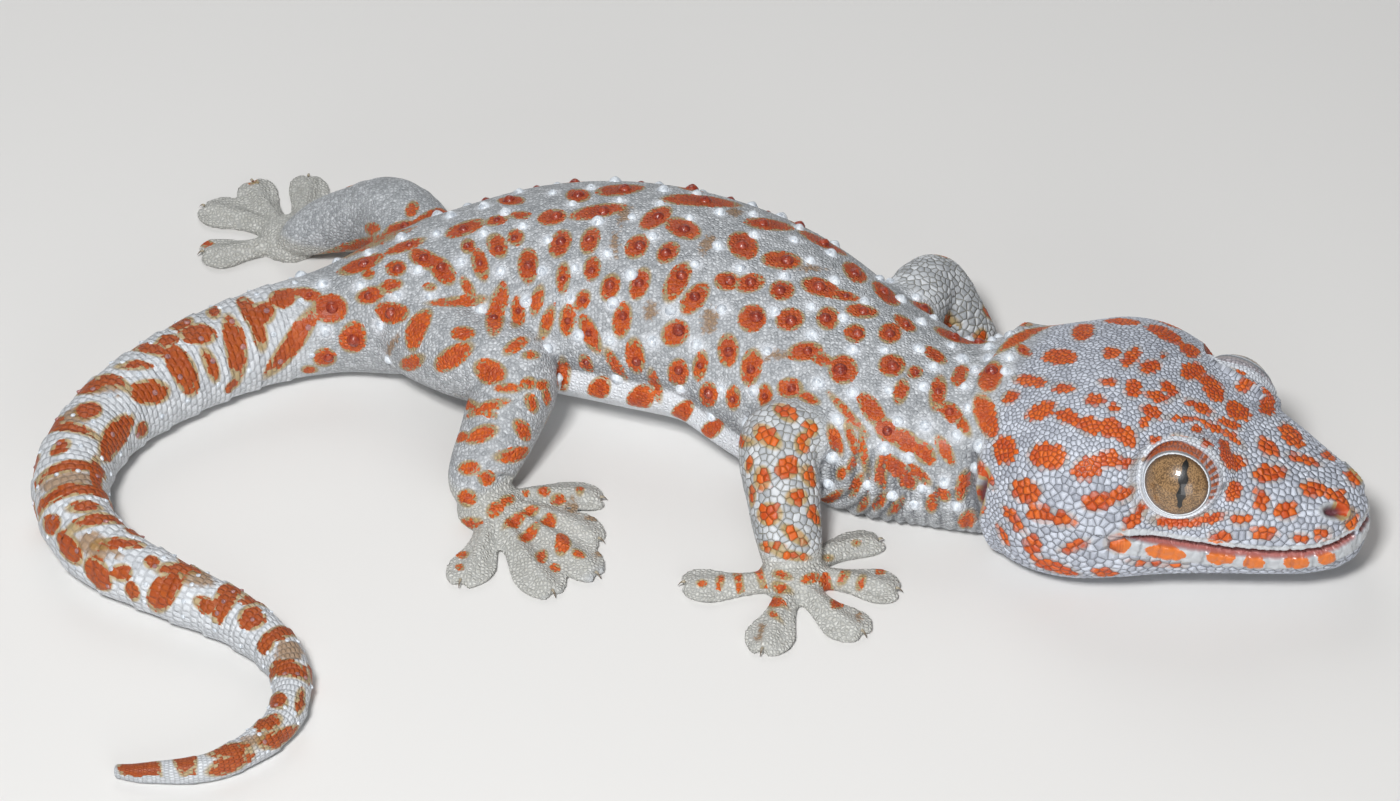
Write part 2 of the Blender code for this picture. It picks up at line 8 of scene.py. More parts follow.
import logging
import math
from collections.abc import Iterable, Sequence
from dataclasses import dataclass, field
from enum import Enum

import bmesh
import bpy
import numpy as np
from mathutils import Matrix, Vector, kdtree
from mathutils.bvhtree import BVHTree


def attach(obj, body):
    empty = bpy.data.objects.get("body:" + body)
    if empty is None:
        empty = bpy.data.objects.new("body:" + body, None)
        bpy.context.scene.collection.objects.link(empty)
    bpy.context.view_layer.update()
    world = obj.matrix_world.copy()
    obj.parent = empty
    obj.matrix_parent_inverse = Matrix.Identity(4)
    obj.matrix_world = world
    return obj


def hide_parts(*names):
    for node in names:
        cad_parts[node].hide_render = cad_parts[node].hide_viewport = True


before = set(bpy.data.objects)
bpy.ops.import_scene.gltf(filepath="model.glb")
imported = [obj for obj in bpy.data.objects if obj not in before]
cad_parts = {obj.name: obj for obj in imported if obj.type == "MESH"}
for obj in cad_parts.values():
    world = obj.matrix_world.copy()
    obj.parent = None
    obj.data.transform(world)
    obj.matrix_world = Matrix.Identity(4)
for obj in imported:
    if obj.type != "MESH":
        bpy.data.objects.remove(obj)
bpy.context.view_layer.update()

LOG = logging.getLogger("gecko")

MM = 0.001
PLAN_CENTRE = np.array([-0.5, -10.7, 0.0])
# The melted form's voxel, the first seed of the draws, and the most points worked on at once
VOXEL = 0.34
SEED = 11
BATCH = 20000
# The right side and the left
SIDES = (-1, 1)
# How square the trunk's sections are, and the share of their height at which they are widest
OVAL_POWER = 2.2
WAIST = 0.46
# The least share of a region at which a point is worked on, and the mouth's distance off the head
LEAST_SHARE = 0.02
NO_MOUTH = 99.0
# Where along the animal the granules of its limbs begin to give way to plates, and where they have
PLATES_FROM, PLATES_FULL = -18.0, -6.0
# The field of a marking where there is none
OFF_FIELD = -1.5


class Tint(Enum):
    """The kinds of marking on the skin."""

    ORANGE = "orange"
    OCHRE = "ochre"


class Region(Enum):
    """The kinds of scale cover."""

    HEAD = "head"
    TRUNK = "trunk"
    TAIL = "tail"
    LIMB = "limb"
    FOOT = "foot"


@dataclass(frozen=True)
class Mark:
    """One marking as the photograph shows it.

    Attributes:
        x: Pixels from the left.
        y: Pixels from the top.
        long: Half its length in pixels.
        wide: Half its width in pixels.
        turn: Degrees its length turns up from the picture's right.
    """

    x: float
    y: float
    long: float
    wide: float
    turn: float = 0.0


CROWN_MARKS = (
    Mark(990, 375, 14, 11, 70), Mark(1083, 331, 12, 8, 20), Mark(1060, 357, 17, 8),
    Mark(1122, 321, 18, 4, -5), Mark(1165, 333, 20, 6, -25), Mark(1190, 350, 11, 6, -30),
    Mark(1112, 353, 9, 6), Mark(1131, 357, 12, 7, 50), Mark(1150, 367, 11, 7, 20), Mark(1193, 371, 12, 9, 10),
    Mark(1213, 388, 16, 9, -50), Mark(1031, 381, 16, 6, -5), Mark(1064, 388, 11, 5), Mark(1108, 382, 9, 4),
    Mark(1133, 389, 9, 8, 60), Mark(1170, 389, 11, 6, -40), Mark(1158, 397, 12, 5, -15),
    Mark(1011, 397, 9, 6, 30), Mark(1095, 400, 10, 6), Mark(1114, 408, 6, 4.5), Mark(1199, 407, 15, 5, -27),
    Mark(1238, 411, 14, 8, -30), Mark(1151, 412, 11, 7, -25), Mark(1144, 423, 6, 4, 60),
    Mark(1182, 418, 14, 2.5, -4), Mark(1213, 427, 12, 3.5, -28), Mark(1233, 437, 13, 3.5, -45),
    Mark(1229, 424, 12, 5, -22), Mark(1267, 408, 9, 7, -60), Mark(1242, 387, 7, 6), Mark(1241, 371, 6, 3),
    Mark(1228, 362, 6, 3, -30), Mark(1252, 383, 4, 4), Mark(1267, 391, 5, 4, -40), Mark(1197, 430, 6, 4, -30),
    Mark(1164, 355, 3, 3), Mark(1024, 351, 8, 4, -35), Mark(1025, 335, 26, 4, 25),
)
CHEEK_MARKS = (
    Mark(987, 417, 21, 10, -70), Mark(1041, 411, 16, 8, 25), Mark(1068, 417, 14, 7, -20),
    Mark(1090, 426, 13, 9, -15), Mark(1110, 428, 13, 9, -10), Mark(1128, 437, 11, 9, -50),
    Mark(1005, 450, 14, 12, 80), Mark(1047, 456, 19, 13, -5), Mark(1088, 467, 16, 11, 25),
    Mark(1107, 459, 14, 8, 5), Mark(1125, 463, 9, 5), Mark(1025, 491, 15, 11, -10),
    Mark(1098, 502, 14, 8, 15), Mark(1121, 496, 12, 7, 20), Mark(1042, 514, 14, 8, -15),
    Mark(1063, 519, 12, 8, -10), Mark(1135, 517, 13, 6, 40), Mark(1014, 520, 16, 5, -50),
    Mark(1033, 545, 11, 8, -70), Mark(1074, 546, 14, 5, 18), Mark(1117, 543, 12, 9),
    Mark(986, 474, 14, 4, -62), Mark(1055, 568, 24, 6, -18), Mark(1105, 573, 12, 4),
    Mark(1003, 535, 11, 4, -65), Mark(1150, 563, 18, 2.5, -5), Mark(1178, 565, 8, 2.5),
)
SNOUT_MARKS = (
    Mark(1155, 441, 5, 4), Mark(1180, 438, 8, 4), Mark(1207, 443, 6, 4, -40), Mark(1226, 450, 12, 5, -75),
    Mark(1234, 462, 9, 6, -70), Mark(1270, 473, 17, 9, 5), Mark(1292, 435, 16, 8, -47),
    Mark(1268, 448, 13, 7, -45), Mark(1304, 460, 16, 4.5, -17), Mark(1328, 455, 6, 4, -30),
    Mark(1312, 488, 12, 8), Mark(1342, 505, 15, 7, -75), Mark(1336, 494, 9, 5), Mark(1353, 477, 8, 5, -50),
    Mark(1233, 491, 10, 8, 80), Mark(1262, 500, 11, 7, -70), Mark(1286, 511, 11, 9),
    Mark(1175, 523, 20, 5, -3), Mark(1207, 519, 18, 5, 14), Mark(1240, 519, 9, 6), Mark(1353, 520, 9, 4, 60),
    Mark(1220, 536, 10, 5), Mark(1264, 533, 12, 6), Mark(1323, 533, 8, 6), Mark(1300, 537, 8, 4),
    Mark(1165, 552, 17, 6, -8), Mark(1220, 557, 12, 6), Mark(1254, 562, 9, 6), Mark(1296, 562, 11, 5),
    Mark(1326, 558, 8, 5),
)
BACK_MARKS = (
    Mark(578, 195, 11, 6), Mark(620, 189, 22, 5, 5), Mark(702, 200, 36, 5, -5), Mark(758, 205, 11, 4, -10),
    Mark(552, 217, 13, 7, 10), Mark(598, 211, 25, 6, 10), Mark(656, 217, 16, 8, 30),
    Mark(683, 228, 17, 9, -20), Mark(770, 224, 22, 5, -8), Mark(817, 227, 9, 3, -20), Mark(511, 200, 12, 4),
    Mark(485, 197, 12, 4), Mark(412, 209, 7, 5, 60), Mark(520, 215, 8, 3), Mark(497, 220, 10, 4, 15),
    Mark(465, 228, 18, 6, 20), Mark(400, 227, 18, 4, 17), Mark(438, 212, 20, 3, 10), Mark(372, 229, 6, 5),
    Mark(405, 246, 17, 4, 20), Mark(365, 243, 21, 4, 12), Mark(361, 264, 21, 6, 22), Mark(396, 268, 9, 7, 10),
    Mark(368, 274, 5, 4), Mark(468, 246, 6, 6), Mark(823, 242, 24, 4, -27), Mark(782, 260, 18, 8, -5),
    Mark(855, 272, 13, 7, -38), Mark(886, 293, 16, 6, -40), Mark(862, 311, 14, 6, -8),
    Mark(820, 287, 17, 8, -15), Mark(842, 295, 14, 4, -12), Mark(905, 323, 11, 5, -35),
    Mark(925, 310, 16, 4, -30), Mark(955, 337, 20, 4, -22), Mark(975, 342, 12, 3, -10),
)
FLANK_MARKS = (
    Mark(425, 259, 15, 8, -22), Mark(442, 270, 14, 9, -50), Mark(497, 245, 11, 8, -60), Mark(516, 237, 7, 7),
    Mark(480, 264, 13, 6.5, -75), Mark(528, 265, 15, 9, 90), Mark(560, 243, 13, 9, 60),
    Mark(590, 240, 12, 8, 68), Mark(637, 246, 12, 9, 45), Mark(668, 252, 11, 8, 40),
    Mark(743, 245, 15, 12, -30), Mark(592, 268, 10, 7, 80), Mark(563, 277, 12, 5.5, 85),
    Mark(610, 287, 12, 8, 70), Mark(640, 283, 14, 8, 68), Mark(677, 281, 19, 9, 60),
    Mark(695, 298, 16, 9, 50), Mark(727, 281, 11, 8), Mark(750, 283, 13, 8, 12), Mark(782, 290, 11, 9),
    Mark(537, 300, 12, 5, 75), Mark(502, 296, 11, 5, 88), Mark(582, 300, 9, 6, 60),
    Mark(518, 312, 12, 5.5, -85), Mark(495, 319, 11, 8, 80), Mark(458, 302, 22, 4, 4),
    Mark(468, 288, 9, 4, -60), Mark(430, 287, 4, 2.5), Mark(393, 313, 13, 9, 10), Mark(417, 328, 20, 9, 65),
    Mark(370, 295, 12, 7, 15), Mark(390, 286, 10, 5, 15), Mark(547, 322, 13, 5, 72),
    Mark(567, 320, 13, 6.5, 85), Mark(590, 334, 17, 7, -65), Mark(622, 320, 15, 8, 80),
    Mark(675, 333, 13, 11, 40), Mark(752, 318, 13, 12, 40), Mark(790, 319, 13, 10, 10),
    Mark(828, 318, 10, 10), Mark(855, 333, 9, 8), Mark(890, 333, 10, 9), Mark(728, 350, 14, 9, 90),
    Mark(635, 356, 15, 8, -82), Mark(751, 367, 16, 9, 80), Mark(678, 373, 12, 9, 90),
    Mark(700, 366, 12, 6, 80), Mark(805, 351, 15, 8, 8), Mark(822, 359, 10, 5, -20), Mark(843, 369, 13, 13),
    Mark(892, 365, 12, 10), Mark(586, 364, 8, 5, -60), Mark(615, 365, 14, 4, -58), Mark(655, 385, 12, 4, -70),
    Mark(708, 395, 11, 8, 90), Mark(733, 398, 10, 6, 90), Mark(765, 395, 9, 6, 90), Mark(790, 388, 11, 9),
    Mark(808, 398, 9, 4, -25), Mark(872, 410, 17, 8, -55), Mark(888, 431, 14, 9, -45),
    Mark(906, 441, 14, 9, -35), Mark(923, 452, 13, 8, -45), Mark(848, 414, 18, 3, -48),
    Mark(851, 437, 14, 3, -72), Mark(835, 440, 12, 5, -70), Mark(864, 455, 14, 2.5, -80),
    Mark(852, 464, 6, 2.5, 70), Mark(841, 473, 5, 3.5, 60), Mark(856, 485, 9, 3.5, 60),
    Mark(881, 474, 12, 4.5, -85), Mark(895, 467, 14, 7, -40), Mark(908, 481, 9, 7, -40),
    Mark(945, 450, 12, 5, -60), Mark(951, 412, 11, 7, -40), Mark(938, 392, 14, 7, 80),
    Mark(901, 391, 10, 6, 75), Mark(919, 474, 11, 4, -42), Mark(943, 494, 7, 5, -45),
    Mark(962, 487, 12, 5, 78), Mark(981, 500, 12, 4, -75), Mark(966, 522, 7, 7), Mark(932, 504, 7, 5, 80),
    Mark(830, 499, 10, 4, 25), Mark(863, 505, 6, 3, 60), Mark(880, 501, 8, 3.5, 50),
    Mark(896, 507, 8, 3.5, 50), Mark(960, 375, 9, 6, 60), Mark(935, 355, 11, 5, -35), Mark(915, 372, 6, 5),
    Mark(963, 425, 8, 4, -60),
)
EDGE_MARKS = (
    Mark(563, 375, 12, 6, 90), Mark(600, 387, 10, 8), Mark(641, 397, 12, 9), Mark(683, 411, 9, 8),
    Mark(713, 428, 8, 7), Mark(740, 441, 7, 5), Mark(385, 377, 12, 4, -30), Mark(420, 388, 8, 3, -15),
    Mark(468, 404, 8, 4, -25),
)
ARM_MARKS = (
    Mark(785, 412, 11, 6, -30), Mark(767, 436, 14, 8, -40), Mark(802, 443, 9, 6, 80),
    Mark(811, 428, 7, 5, -60), Mark(788, 468, 10, 9), Mark(809, 476, 10, 6, -70), Mark(762, 478, 10, 7, 90),
    Mark(797, 497, 9, 7), Mark(769, 514, 11, 10), Mark(749, 465, 6, 3, 80), Mark(752, 496, 8, 2.5, 90),
    Mark(815, 516, 9, 4, -60), Mark(795, 535, 12, 5, -35), Mark(770, 547, 9, 3.5),
    Mark(793, 556, 14, 3.5, -10), Mark(828, 558, 5, 3), Mark(758, 571, 9, 4, -60), Mark(738, 576, 9, 4, -70),
    Mark(720, 580, 8, 4, 85), Mark(702, 583, 5, 3.5), Mark(782, 575, 9, 4, -15), Mark(781, 588, 9, 5.5, -20),
    Mark(774, 602, 9, 5.5, 10), Mark(773, 614, 5, 3, -30), Mark(811, 578, 9, 5, 15),
    Mark(827, 590, 8, 6, -60), Mark(837, 603, 7, 6), Mark(844, 576, 9, 4.5, 60), Mark(861, 582, 8, 4, 70),
    Mark(856, 543, 4, 3),
)
LEG_MARKS = (
    Mark(463, 333, 10, 6), Mark(452, 357, 19, 9, 33), Mark(490, 372, 13, 11), Mark(411, 363, 10, 6, 20),
    Mark(508, 388, 9, 3.5), Mark(516, 345, 11, 5, 30), Mark(531, 355, 6, 3), Mark(543, 385, 5, 4),
    Mark(529, 383, 6, 5), Mark(486, 407, 16, 4, 20), Mark(532, 403, 8, 5, -65), Mark(547, 397, 7, 3, -80),
    Mark(481, 434, 14, 7, 22), Mark(523, 430, 10, 6, -55), Mark(515, 455, 14, 6, 12), Mark(541, 437, 5, 2),
    Mark(469, 468, 9, 6), Mark(487, 478, 7, 6), Mark(461, 437, 6, 3.5, 40), Mark(466, 499, 9, 8),
    Mark(469, 523, 10, 5), Mark(465, 541, 9, 4.5), Mark(463, 555, 6, 3.5), Mark(460, 567, 4, 3),
    Mark(495, 509, 9, 7, 40), Mark(507, 500, 8, 5, 20), Mark(513, 523, 9, 6, 10), Mark(527, 537, 10, 5.5, 25),
    Mark(530, 512, 9, 5.5, 30), Mark(548, 523, 8, 6), Mark(564, 540, 9, 6, -50), Mark(558, 500, 7, 6),
    Mark(544, 491, 6, 5), Mark(528, 479, 5, 3, 80), Mark(526, 493, 3, 3), Mark(580, 489, 4, 4),
    Mark(541, 557, 6, 6), Mark(579, 553, 7, 4, -25), Mark(555, 568, 5, 4, -20),
)
TAIL_MARKS = (
    Mark(330, 308, 16, 13), Mark(283, 297, 12, 8, 15), Mark(308, 294, 12, 5, -15), Mark(353, 338, 14, 12, 80),
    Mark(325, 358, 10, 8), Mark(310, 370, 6, 3), Mark(293, 343, 33, 8, 54), Mark(250, 312, 16, 6, -60),
    Mark(263, 312, 10, 9), Mark(259, 332, 12, 5, -75), Mark(236, 347, 25, 8, -80), Mark(197, 333, 15, 8, -5),
    Mark(181, 323, 10, 4, 15), Mark(213, 311, 5, 4), Mark(211, 365, 11, 4, -68), Mark(183, 369, 22, 10, -62),
    Mark(152, 348, 16, 4, -12), Mark(167, 340, 8, 4, 15), Mark(150, 392, 16, 10), Mark(133, 365, 10, 2.5),
    Mark(88, 410, 11, 7, 10), Mark(115, 438, 22, 10, 60), Mark(142, 430, 6, 4, 70),
    Mark(70, 427, 18, 3.5, -8), Mark(60, 447, 8, 4, 30), Mark(113, 380, 13, 4, -20), Mark(88, 387, 12, 4, 20),
    Mark(70, 466, 30, 3.5, 8), Mark(65, 491, 34, 4.5, 14), Mark(97, 475, 13, 4, -80), Mark(85, 506, 12, 4),
    Mark(50, 525, 8, 6, 80), Mark(96, 519, 22, 4, 8), Mark(68, 548, 16, 8, -60), Mark(118, 543, 16, 3.5),
    Mark(97, 575, 16, 9, -55), Mark(121, 573, 7, 6), Mark(152, 562, 5, 4), Mark(132, 592, 7, 5, -60),
    Mark(163, 592, 20, 11, 55), Mark(180, 568, 16, 4, -5), Mark(228, 595, 16, 8, 50),
    Mark(205, 605, 8, 5, -30), Mark(252, 617, 11, 9), Mark(283, 631, 19, 5, 12), Mark(267, 642, 8, 5, 70),
    Mark(287, 668, 17, 6, -8), Mark(277, 700, 7, 6), Mark(301, 701, 8, 3, 80), Mark(268, 722, 10, 5, 20),
    Mark(282, 738, 16, 6, 25), Mark(230, 750, 15, 5, 5), Mark(230, 765, 16, 6, 22), Mark(185, 760, 9, 7),
    Mark(139, 765, 18, 9), Mark(233, 385, 6, 3, 40),
)
OCHRE_MARKS = (
    Mark(65, 479, 30, 8, 10), Mark(95, 545, 24, 12, -20), Mark(195, 575, 20, 9, -15), Mark(290, 650, 14, 12),
    Mark(250, 742, 22, 6, 20), Mark(100, 388, 20, 6), Mark(75, 415, 16, 8, 10), Mark(615, 243, 9, 4, 90),
    Mark(650, 312, 9, 6, 80), Mark(710, 320, 12, 8, 80), Mark(708, 243, 10, 6, 60), Mark(625, 215, 9, 6, 70),
    Mark(775, 355, 12, 4, 5), Mark(735, 212, 8, 4), Mark(810, 268, 12, 3), Mark(760, 632, 8, 3, 70),
    Mark(858, 617, 4, 4), Mark(572, 508, 6, 5), Mark(592, 518, 6, 4), Mark(598, 554, 4, 3),
    Mark(985, 541, 12, 4, -25), Mark(390, 348, 9, 3, 60), Mark(1144, 463, 4, 3), Mark(1350, 517, 10, 4, 70),
)


@dataclass(frozen=True)
class Section:
    """One upright cross-section of the spine: plan place, underside, back and half width."""

    x: float
    y: float
    low: float
    high: float
    half: float


SPINE = (
    Section(-70.0, -67.0, -0.1, 1.6, 0.8),
    Section(-65.6, -67.6, -0.3, 2.5, 1.2),
    Section(-57.5, -66.6, -0.3, 3.4, 1.7),
    Section(-50.6, -60.3, -0.3, 4.4, 2.15),
    Section(-50.2, -51.5, -0.3, 5.3, 2.6),
    Section(-56.5, -44.0, -0.3, 6.3, 3.2),
    Section(-66.3, -38.3, -0.3, 7.4, 3.7),
    Section(-75.8, -31.6, -0.3, 8.8, 4.4),
    Section(-79.9, -21.0, -0.3, 9.6, 4.9),
    Section(-76.5, -9.5, -0.3, 10.2, 5.1),
    Section(-68.0, -0.5, -0.3, 11.2, 5.7),
    Section(-58.0, 5.8, -0.3, 12.0, 6.1),
    Section(-49.0, 8.8, -0.3, 13.0, 6.8),
    Section(-41.5, 10.4, -0.5, 15.5, 9.5),
    Section(-32.0, 11.8, -0.7, 18.0, 12.5),
    Section(-19.0, 11.8, -1.0, 21.0, 16.0),
    Section(-6.5, 9.0, -1.0, 22.5, 17.2),
    Section(5.5, 4.0, -1.0, 22.0, 16.6),
    Section(15.5, -4.0, -2.6, 20.0, 16.2),
    Section(24.6, -10.2, -3.6, 18.0, 15.2),
    Section(32.6, -13.6, -3.4, 16.9, 13.4),
    Section(41.0, -14.8, -2.6, 18.0, 15.0),
    Section(49.0, -17.0, -1.8, 18.6, 15.4),
)
# Where the tail ends in sections, the length of its rings and the scales round it
TAIL_END = 12.3
TAIL_RING = 5.0
TAIL_SCALES = 26.0
# The angle from the top at which the belly begins
UNDERSIDE = 92


@dataclass(frozen=True)
class HeadSection:
    """One cross-section of the head along its own axis."""

    along: float
    low: float
    high: float
    half: float
    waist: float


HEAD = (
    HeadSection(0.0, -2.2, 18.4, 15.6, 0.40),
    HeadSection(5.0, -4.0, 20.0, 18.2, 0.37),
    HeadSection(10.0, -4.4, 21.6, 19.8, 0.38),
    HeadSection(15.0, -4.0, 22.1, 19.6, 0.38),
    HeadSection(20.0, -3.0, 21.2, 17.9, 0.38),
    HeadSection(25.0, -2.2, 19.2, 15.4, 0.40),
    HeadSection(30.5, -1.6, 16.4, 12.8, 0.42),
    HeadSection(36.0, -1.1, 14.1, 10.4, 0.44),
    HeadSection(41.0, -0.6, 12.1, 8.0, 0.46),
    HeadSection(44.3, 0.2, 10.6, 5.6, 0.48),
    HeadSection(46.0, 1.4, 8.8, 3.2, 0.48),
)
SNOUT_TIP = (46.6, 4.7)
HEAD_PLACE = (40.4, -13.6)
HEAD_YAW = math.radians(-24.5)
HEAD_LIFT = math.radians(3.0)
HEAD_ROLL = math.radians(4.0)
HEAD_POWER = 2.35
EYE_PLACE = (25.6, 9.4, 13.5)
EYE_RADIUS = 5.1
EYE_LOOK = (0.22, 0.92, 0.30)
# The lids' opening: its place before the eye, its flattening, its half width and its crescents' brown
LID_PLACE = (-0.50, 0.40)
LID_SQUASH = 1.06
LID_RIM = 3.93
LID_BROWN = {-1: 1.0, 1: 0.2}
ORBIT_INSET = (1.3, 0.2)
ORBIT_RADII = (6.6, 5.2, 5.5)
# The length round the lids' outer fold, how far from an eye's centre the points of its lids are looked
# for, and within what distance of it scattered seeds keep off the fringe's
LID_ROUND = 32.0
LID_SEARCH = 10.0
SEED_CLEAR = 5.6
# The length of the upper and of the lower lip's scales, and the mouth's places along and up
LIP_PITCHES = (2.2, 2.7)
MOUTH_LINE = ((17.0, 8.9), (23.0, 8.5), (27.3, 7.4), (32.5, 6.2), (38.0, 5.5), (43.0, 5.5), (46.4, 6.4))


@dataclass(frozen=True)
class Opening:
    """An oval opening in the left side of the head, and its mirror in the right.

    Attributes:
        place: Where it lies in the head's frame.
        way: The direction of its length, with no part across the head.
        long: Half its length.
        wide: Half its width.
        depth: How deep it goes.
        brim: How high its brim stands.
    """

    place: tuple[float, float, float]
    way: tuple[float, float, float]
    long: float
    wide: float
    depth: float
    brim: float


NOSTRIL = Opening((43.1, 3.5, 9.3), (0.9, 0.0, 0.42), 1.25, 0.66, 1.1, 0.42)
EAR = Opening((2.0, 16.0, 8.2), (0.05, 0.0, 1.0), 2.6, 0.6, 1.3, 0.10)


@dataclass(frozen=True)
class Bend:
    """One bend point of a limb, with its half width and half depth."""

    x: float
    y: float
    z: float
    wide: float
    deep: float

    def gap(self, points: np.ndarray, drop: float = 0.0) -> np.ndarray:
        """How far points lie from it, or from a place so far below it."""
        return np.linalg.norm(points - (self.x, self.y, self.z - drop), axis=1)


@dataclass(frozen=True)
class Toe:
    """One toe: its tip, its sideways bend and half its pad's width."""

    x: float
    y: float
    bend: float
    pad: float


@dataclass(frozen=True)
class Limb:
    """One limb from the trunk to its five toes."""

    bends: tuple[Bend, ...]
    palm: tuple[float, float]
    toes: tuple[Toe, ...]

    def toe_line(self, toe: Toe) -> tuple[np.ndarray, np.ndarray, float]:
        """One toe's start, direction and length on the ground."""
        start, stop = np.array(self.palm), np.array((toe.x, toe.y))
        length = np.linalg.norm(stop - start)
        return start, (stop - start) / length, length


FRONT_RIGHT = Limb(
    (
        Bend(24.5, -9.0, 8.0, 5.6, 5.2), Bend(17.0, -16.2, 10.0, 5.2, 5.0), Bend(10.4, -19.4, 10.6, 5.2, 4.8),
        Bend(10.6, -26.2, 6.4, 4.6, 4.0), Bend(11.4, -31.4, 3.2, 4.0, 2.8),
    ),
    (11.8, -33.6),
    (
        Toe(23.4, -26.8, 0.10, 2.5), Toe(25.4, -36.2, 0.04, 3.0), Toe(20.6, -44.2, -0.06, 3.1),
        Toe(7.4, -47.4, 0.02, 3.2), Toe(-2.8, -35.0, 0.05, 2.9),
    ),
)
FRONT_LEFT = Limb(
    (
        Bend(22.0, -3.0, 7.6, 5.6, 5.4), Bend(27.0, 5.6, 9.4, 4.9, 4.8), Bend(30.8, 12.0, 9.6, 4.1, 4.0),
        Bend(34.0, 9.6, 6.4, 3.7, 3.5), Bend(36.4, 7.0, 3.2, 3.5, 2.7),
    ),
    (37.6, 5.4),
    (
        Toe(49.6, 3.2, -0.08, 2.4), Toe(50.8, 8.2, -0.04, 2.8), Toe(46.6, 11.2, 0.05, 2.7),
        Toe(36.2, 15.8, 0.04, 2.8), Toe(27.6, 10.2, 0.03, 2.7),
    ),
)
HIND_RIGHT = Limb(
    (
        Bend(-38.5, 7.0, 8.0, 7.0, 6.4), Bend(-30.5, -0.6, 9.4, 6.4, 5.8), Bend(-23.8, -5.4, 9.8, 5.6, 5.2),
        Bend(-25.6, -12.4, 6.6, 5.0, 4.2), Bend(-28.0, -18.2, 3.4, 4.2, 2.9),
    ),
    (-26.6, -21.0),
    (
        Toe(-11.8, -19.4, 0.10, 2.6), Toe(-12.0, -27.4, 0.08, 2.9), Toe(-12.4, -33.8, 0.04, 3.0),
        Toe(-18.0, -37.2, -0.02, 3.3), Toe(-30.2, -35.4, 0.06, 3.1),
    ),
)
HIND_LEFT = Limb(
    (
        Bend(-37.5, 13.0, 8.0, 7.0, 6.2), Bend(-38.2, 21.6, 8.6, 6.2, 5.6), Bend(-42.0, 28.2, 8.2, 5.4, 4.9),
        Bend(-48.0, 30.6, 5.4, 4.7, 3.9), Bend(-53.4, 31.2, 3.2, 4.1, 2.8),
    ),
    (-56.0, 32.4),
    (
        Toe(-46.6, 42.6, 0.06, 2.6), Toe(-54.4, 46.6, -0.05, 2.9), Toe(-62.6, 45.4, 0.04, 3.0),
        Toe(-69.2, 39.6, -0.04, 3.3), Toe(-68.6, 29.2, 0.06, 3.1),
    ),
)
LIMBS = (FRONT_RIGHT, FRONT_LEFT, HIND_RIGHT, HIND_LEFT)
TOE_HIGH = 2.5
TOE_EDGE = 0.75
TOE_NECK = 1.75
PALM_HIGH = 3.2


def spline(rows: Sequence[Sequence[float]] | np.ndarray, at: np.ndarray) -> np.ndarray:
    """Catmull-Rom values of rows at places counted in rows.

    Args:
        rows: One row of values per control point.
        at: Places between 0 and the last row.

    Returns:
        One row of values per place.
    """
    rows = np.asarray(rows, float)
    at = np.clip(np.asarray(at, float), 0, len(rows) - 1)
    first = np.minimum(at.astype(int), len(rows) - 2)
    t = (at - first)[:, None]
    padded = np.vstack([2 * rows[0] - rows[1], rows, 2 * rows[-1] - rows[-2]])
    a, b, c, d = (padded[first + k] for k in range(4))
    return 0.5 * (2 * b + (c - a) * t + (2 * a - 5 * b + 4 * c - d) * t**2 + (3 * b - a - 3 * c + d) * t**3)


def unit(vectors: np.ndarray) -> np.ndarray:
    """The vectors at length one."""
    return vectors / np.maximum(np.linalg.norm(vectors, axis=-1, keepdims=True), 1e-12)


def ease(low: float, high: float, value: np.ndarray | float) -> np.ndarray:
    """A smooth step from 0 at low to 1 at high."""
    t = np.clip((np.asarray(value, float) - low) / (high - low), 0.0, 1.0)
    return t * t * (3 - 2 * t)


def ridge(value: np.ndarray | float, middle: np.ndarray | float, width: float) -> np.ndarray:
    """A smooth hump of height 1 about a middle."""
    return np.exp(-(((np.asarray(value, float) - middle) / width) ** 2))


def oval(sides: int, power: float = OVAL_POWER) -> np.ndarray:
    """The unit superellipse's points, across and up."""
    turn = 2 * np.pi * (np.arange(sides) + 0.5) / sides
    c, s = np.cos(turn), np.sin(turn)
    return np.stack([np.sign(c) * abs(c) ** (2 / power), np.sign(s) * abs(s) ** (2 / power)], 1)


def circle(count: int) -> np.ndarray:
    """Even angles once round, in radians."""
    return 2 * np.pi * np.arange(count) / count


def running(line: np.ndarray) -> np.ndarray:
    """The length along a line up to each of its points."""
    return np.concatenate([[0.0], np.cumsum(np.linalg.norm(np.diff(line, axis=0), axis=1))])


def add_object(name: str, data: bpy.types.ID) -> bpy.types.Object:
    """A new object in the scene."""
    obj = bpy.data.objects.new(name, data)
    bpy.context.scene.collection.objects.link(obj)
    return obj


def tree_of(points: np.ndarray) -> kdtree.KDTree:
    """A balanced search tree over points."""
    tree = kdtree.KDTree(len(points))
    for index, point in enumerate(points.tolist()):
        tree.insert(point, index)
    tree.balance()
    return tree


def nearest_seeds(tree: kdtree.KDTree, points: np.ndarray, count: int) -> np.ndarray:
    """The indices of the few seeds nearest to each point."""
    found = [[hit[1] for hit in tree.find_n(point, count)] for point in points.tolist()]
    return np.array(found, int).reshape(len(points), count)


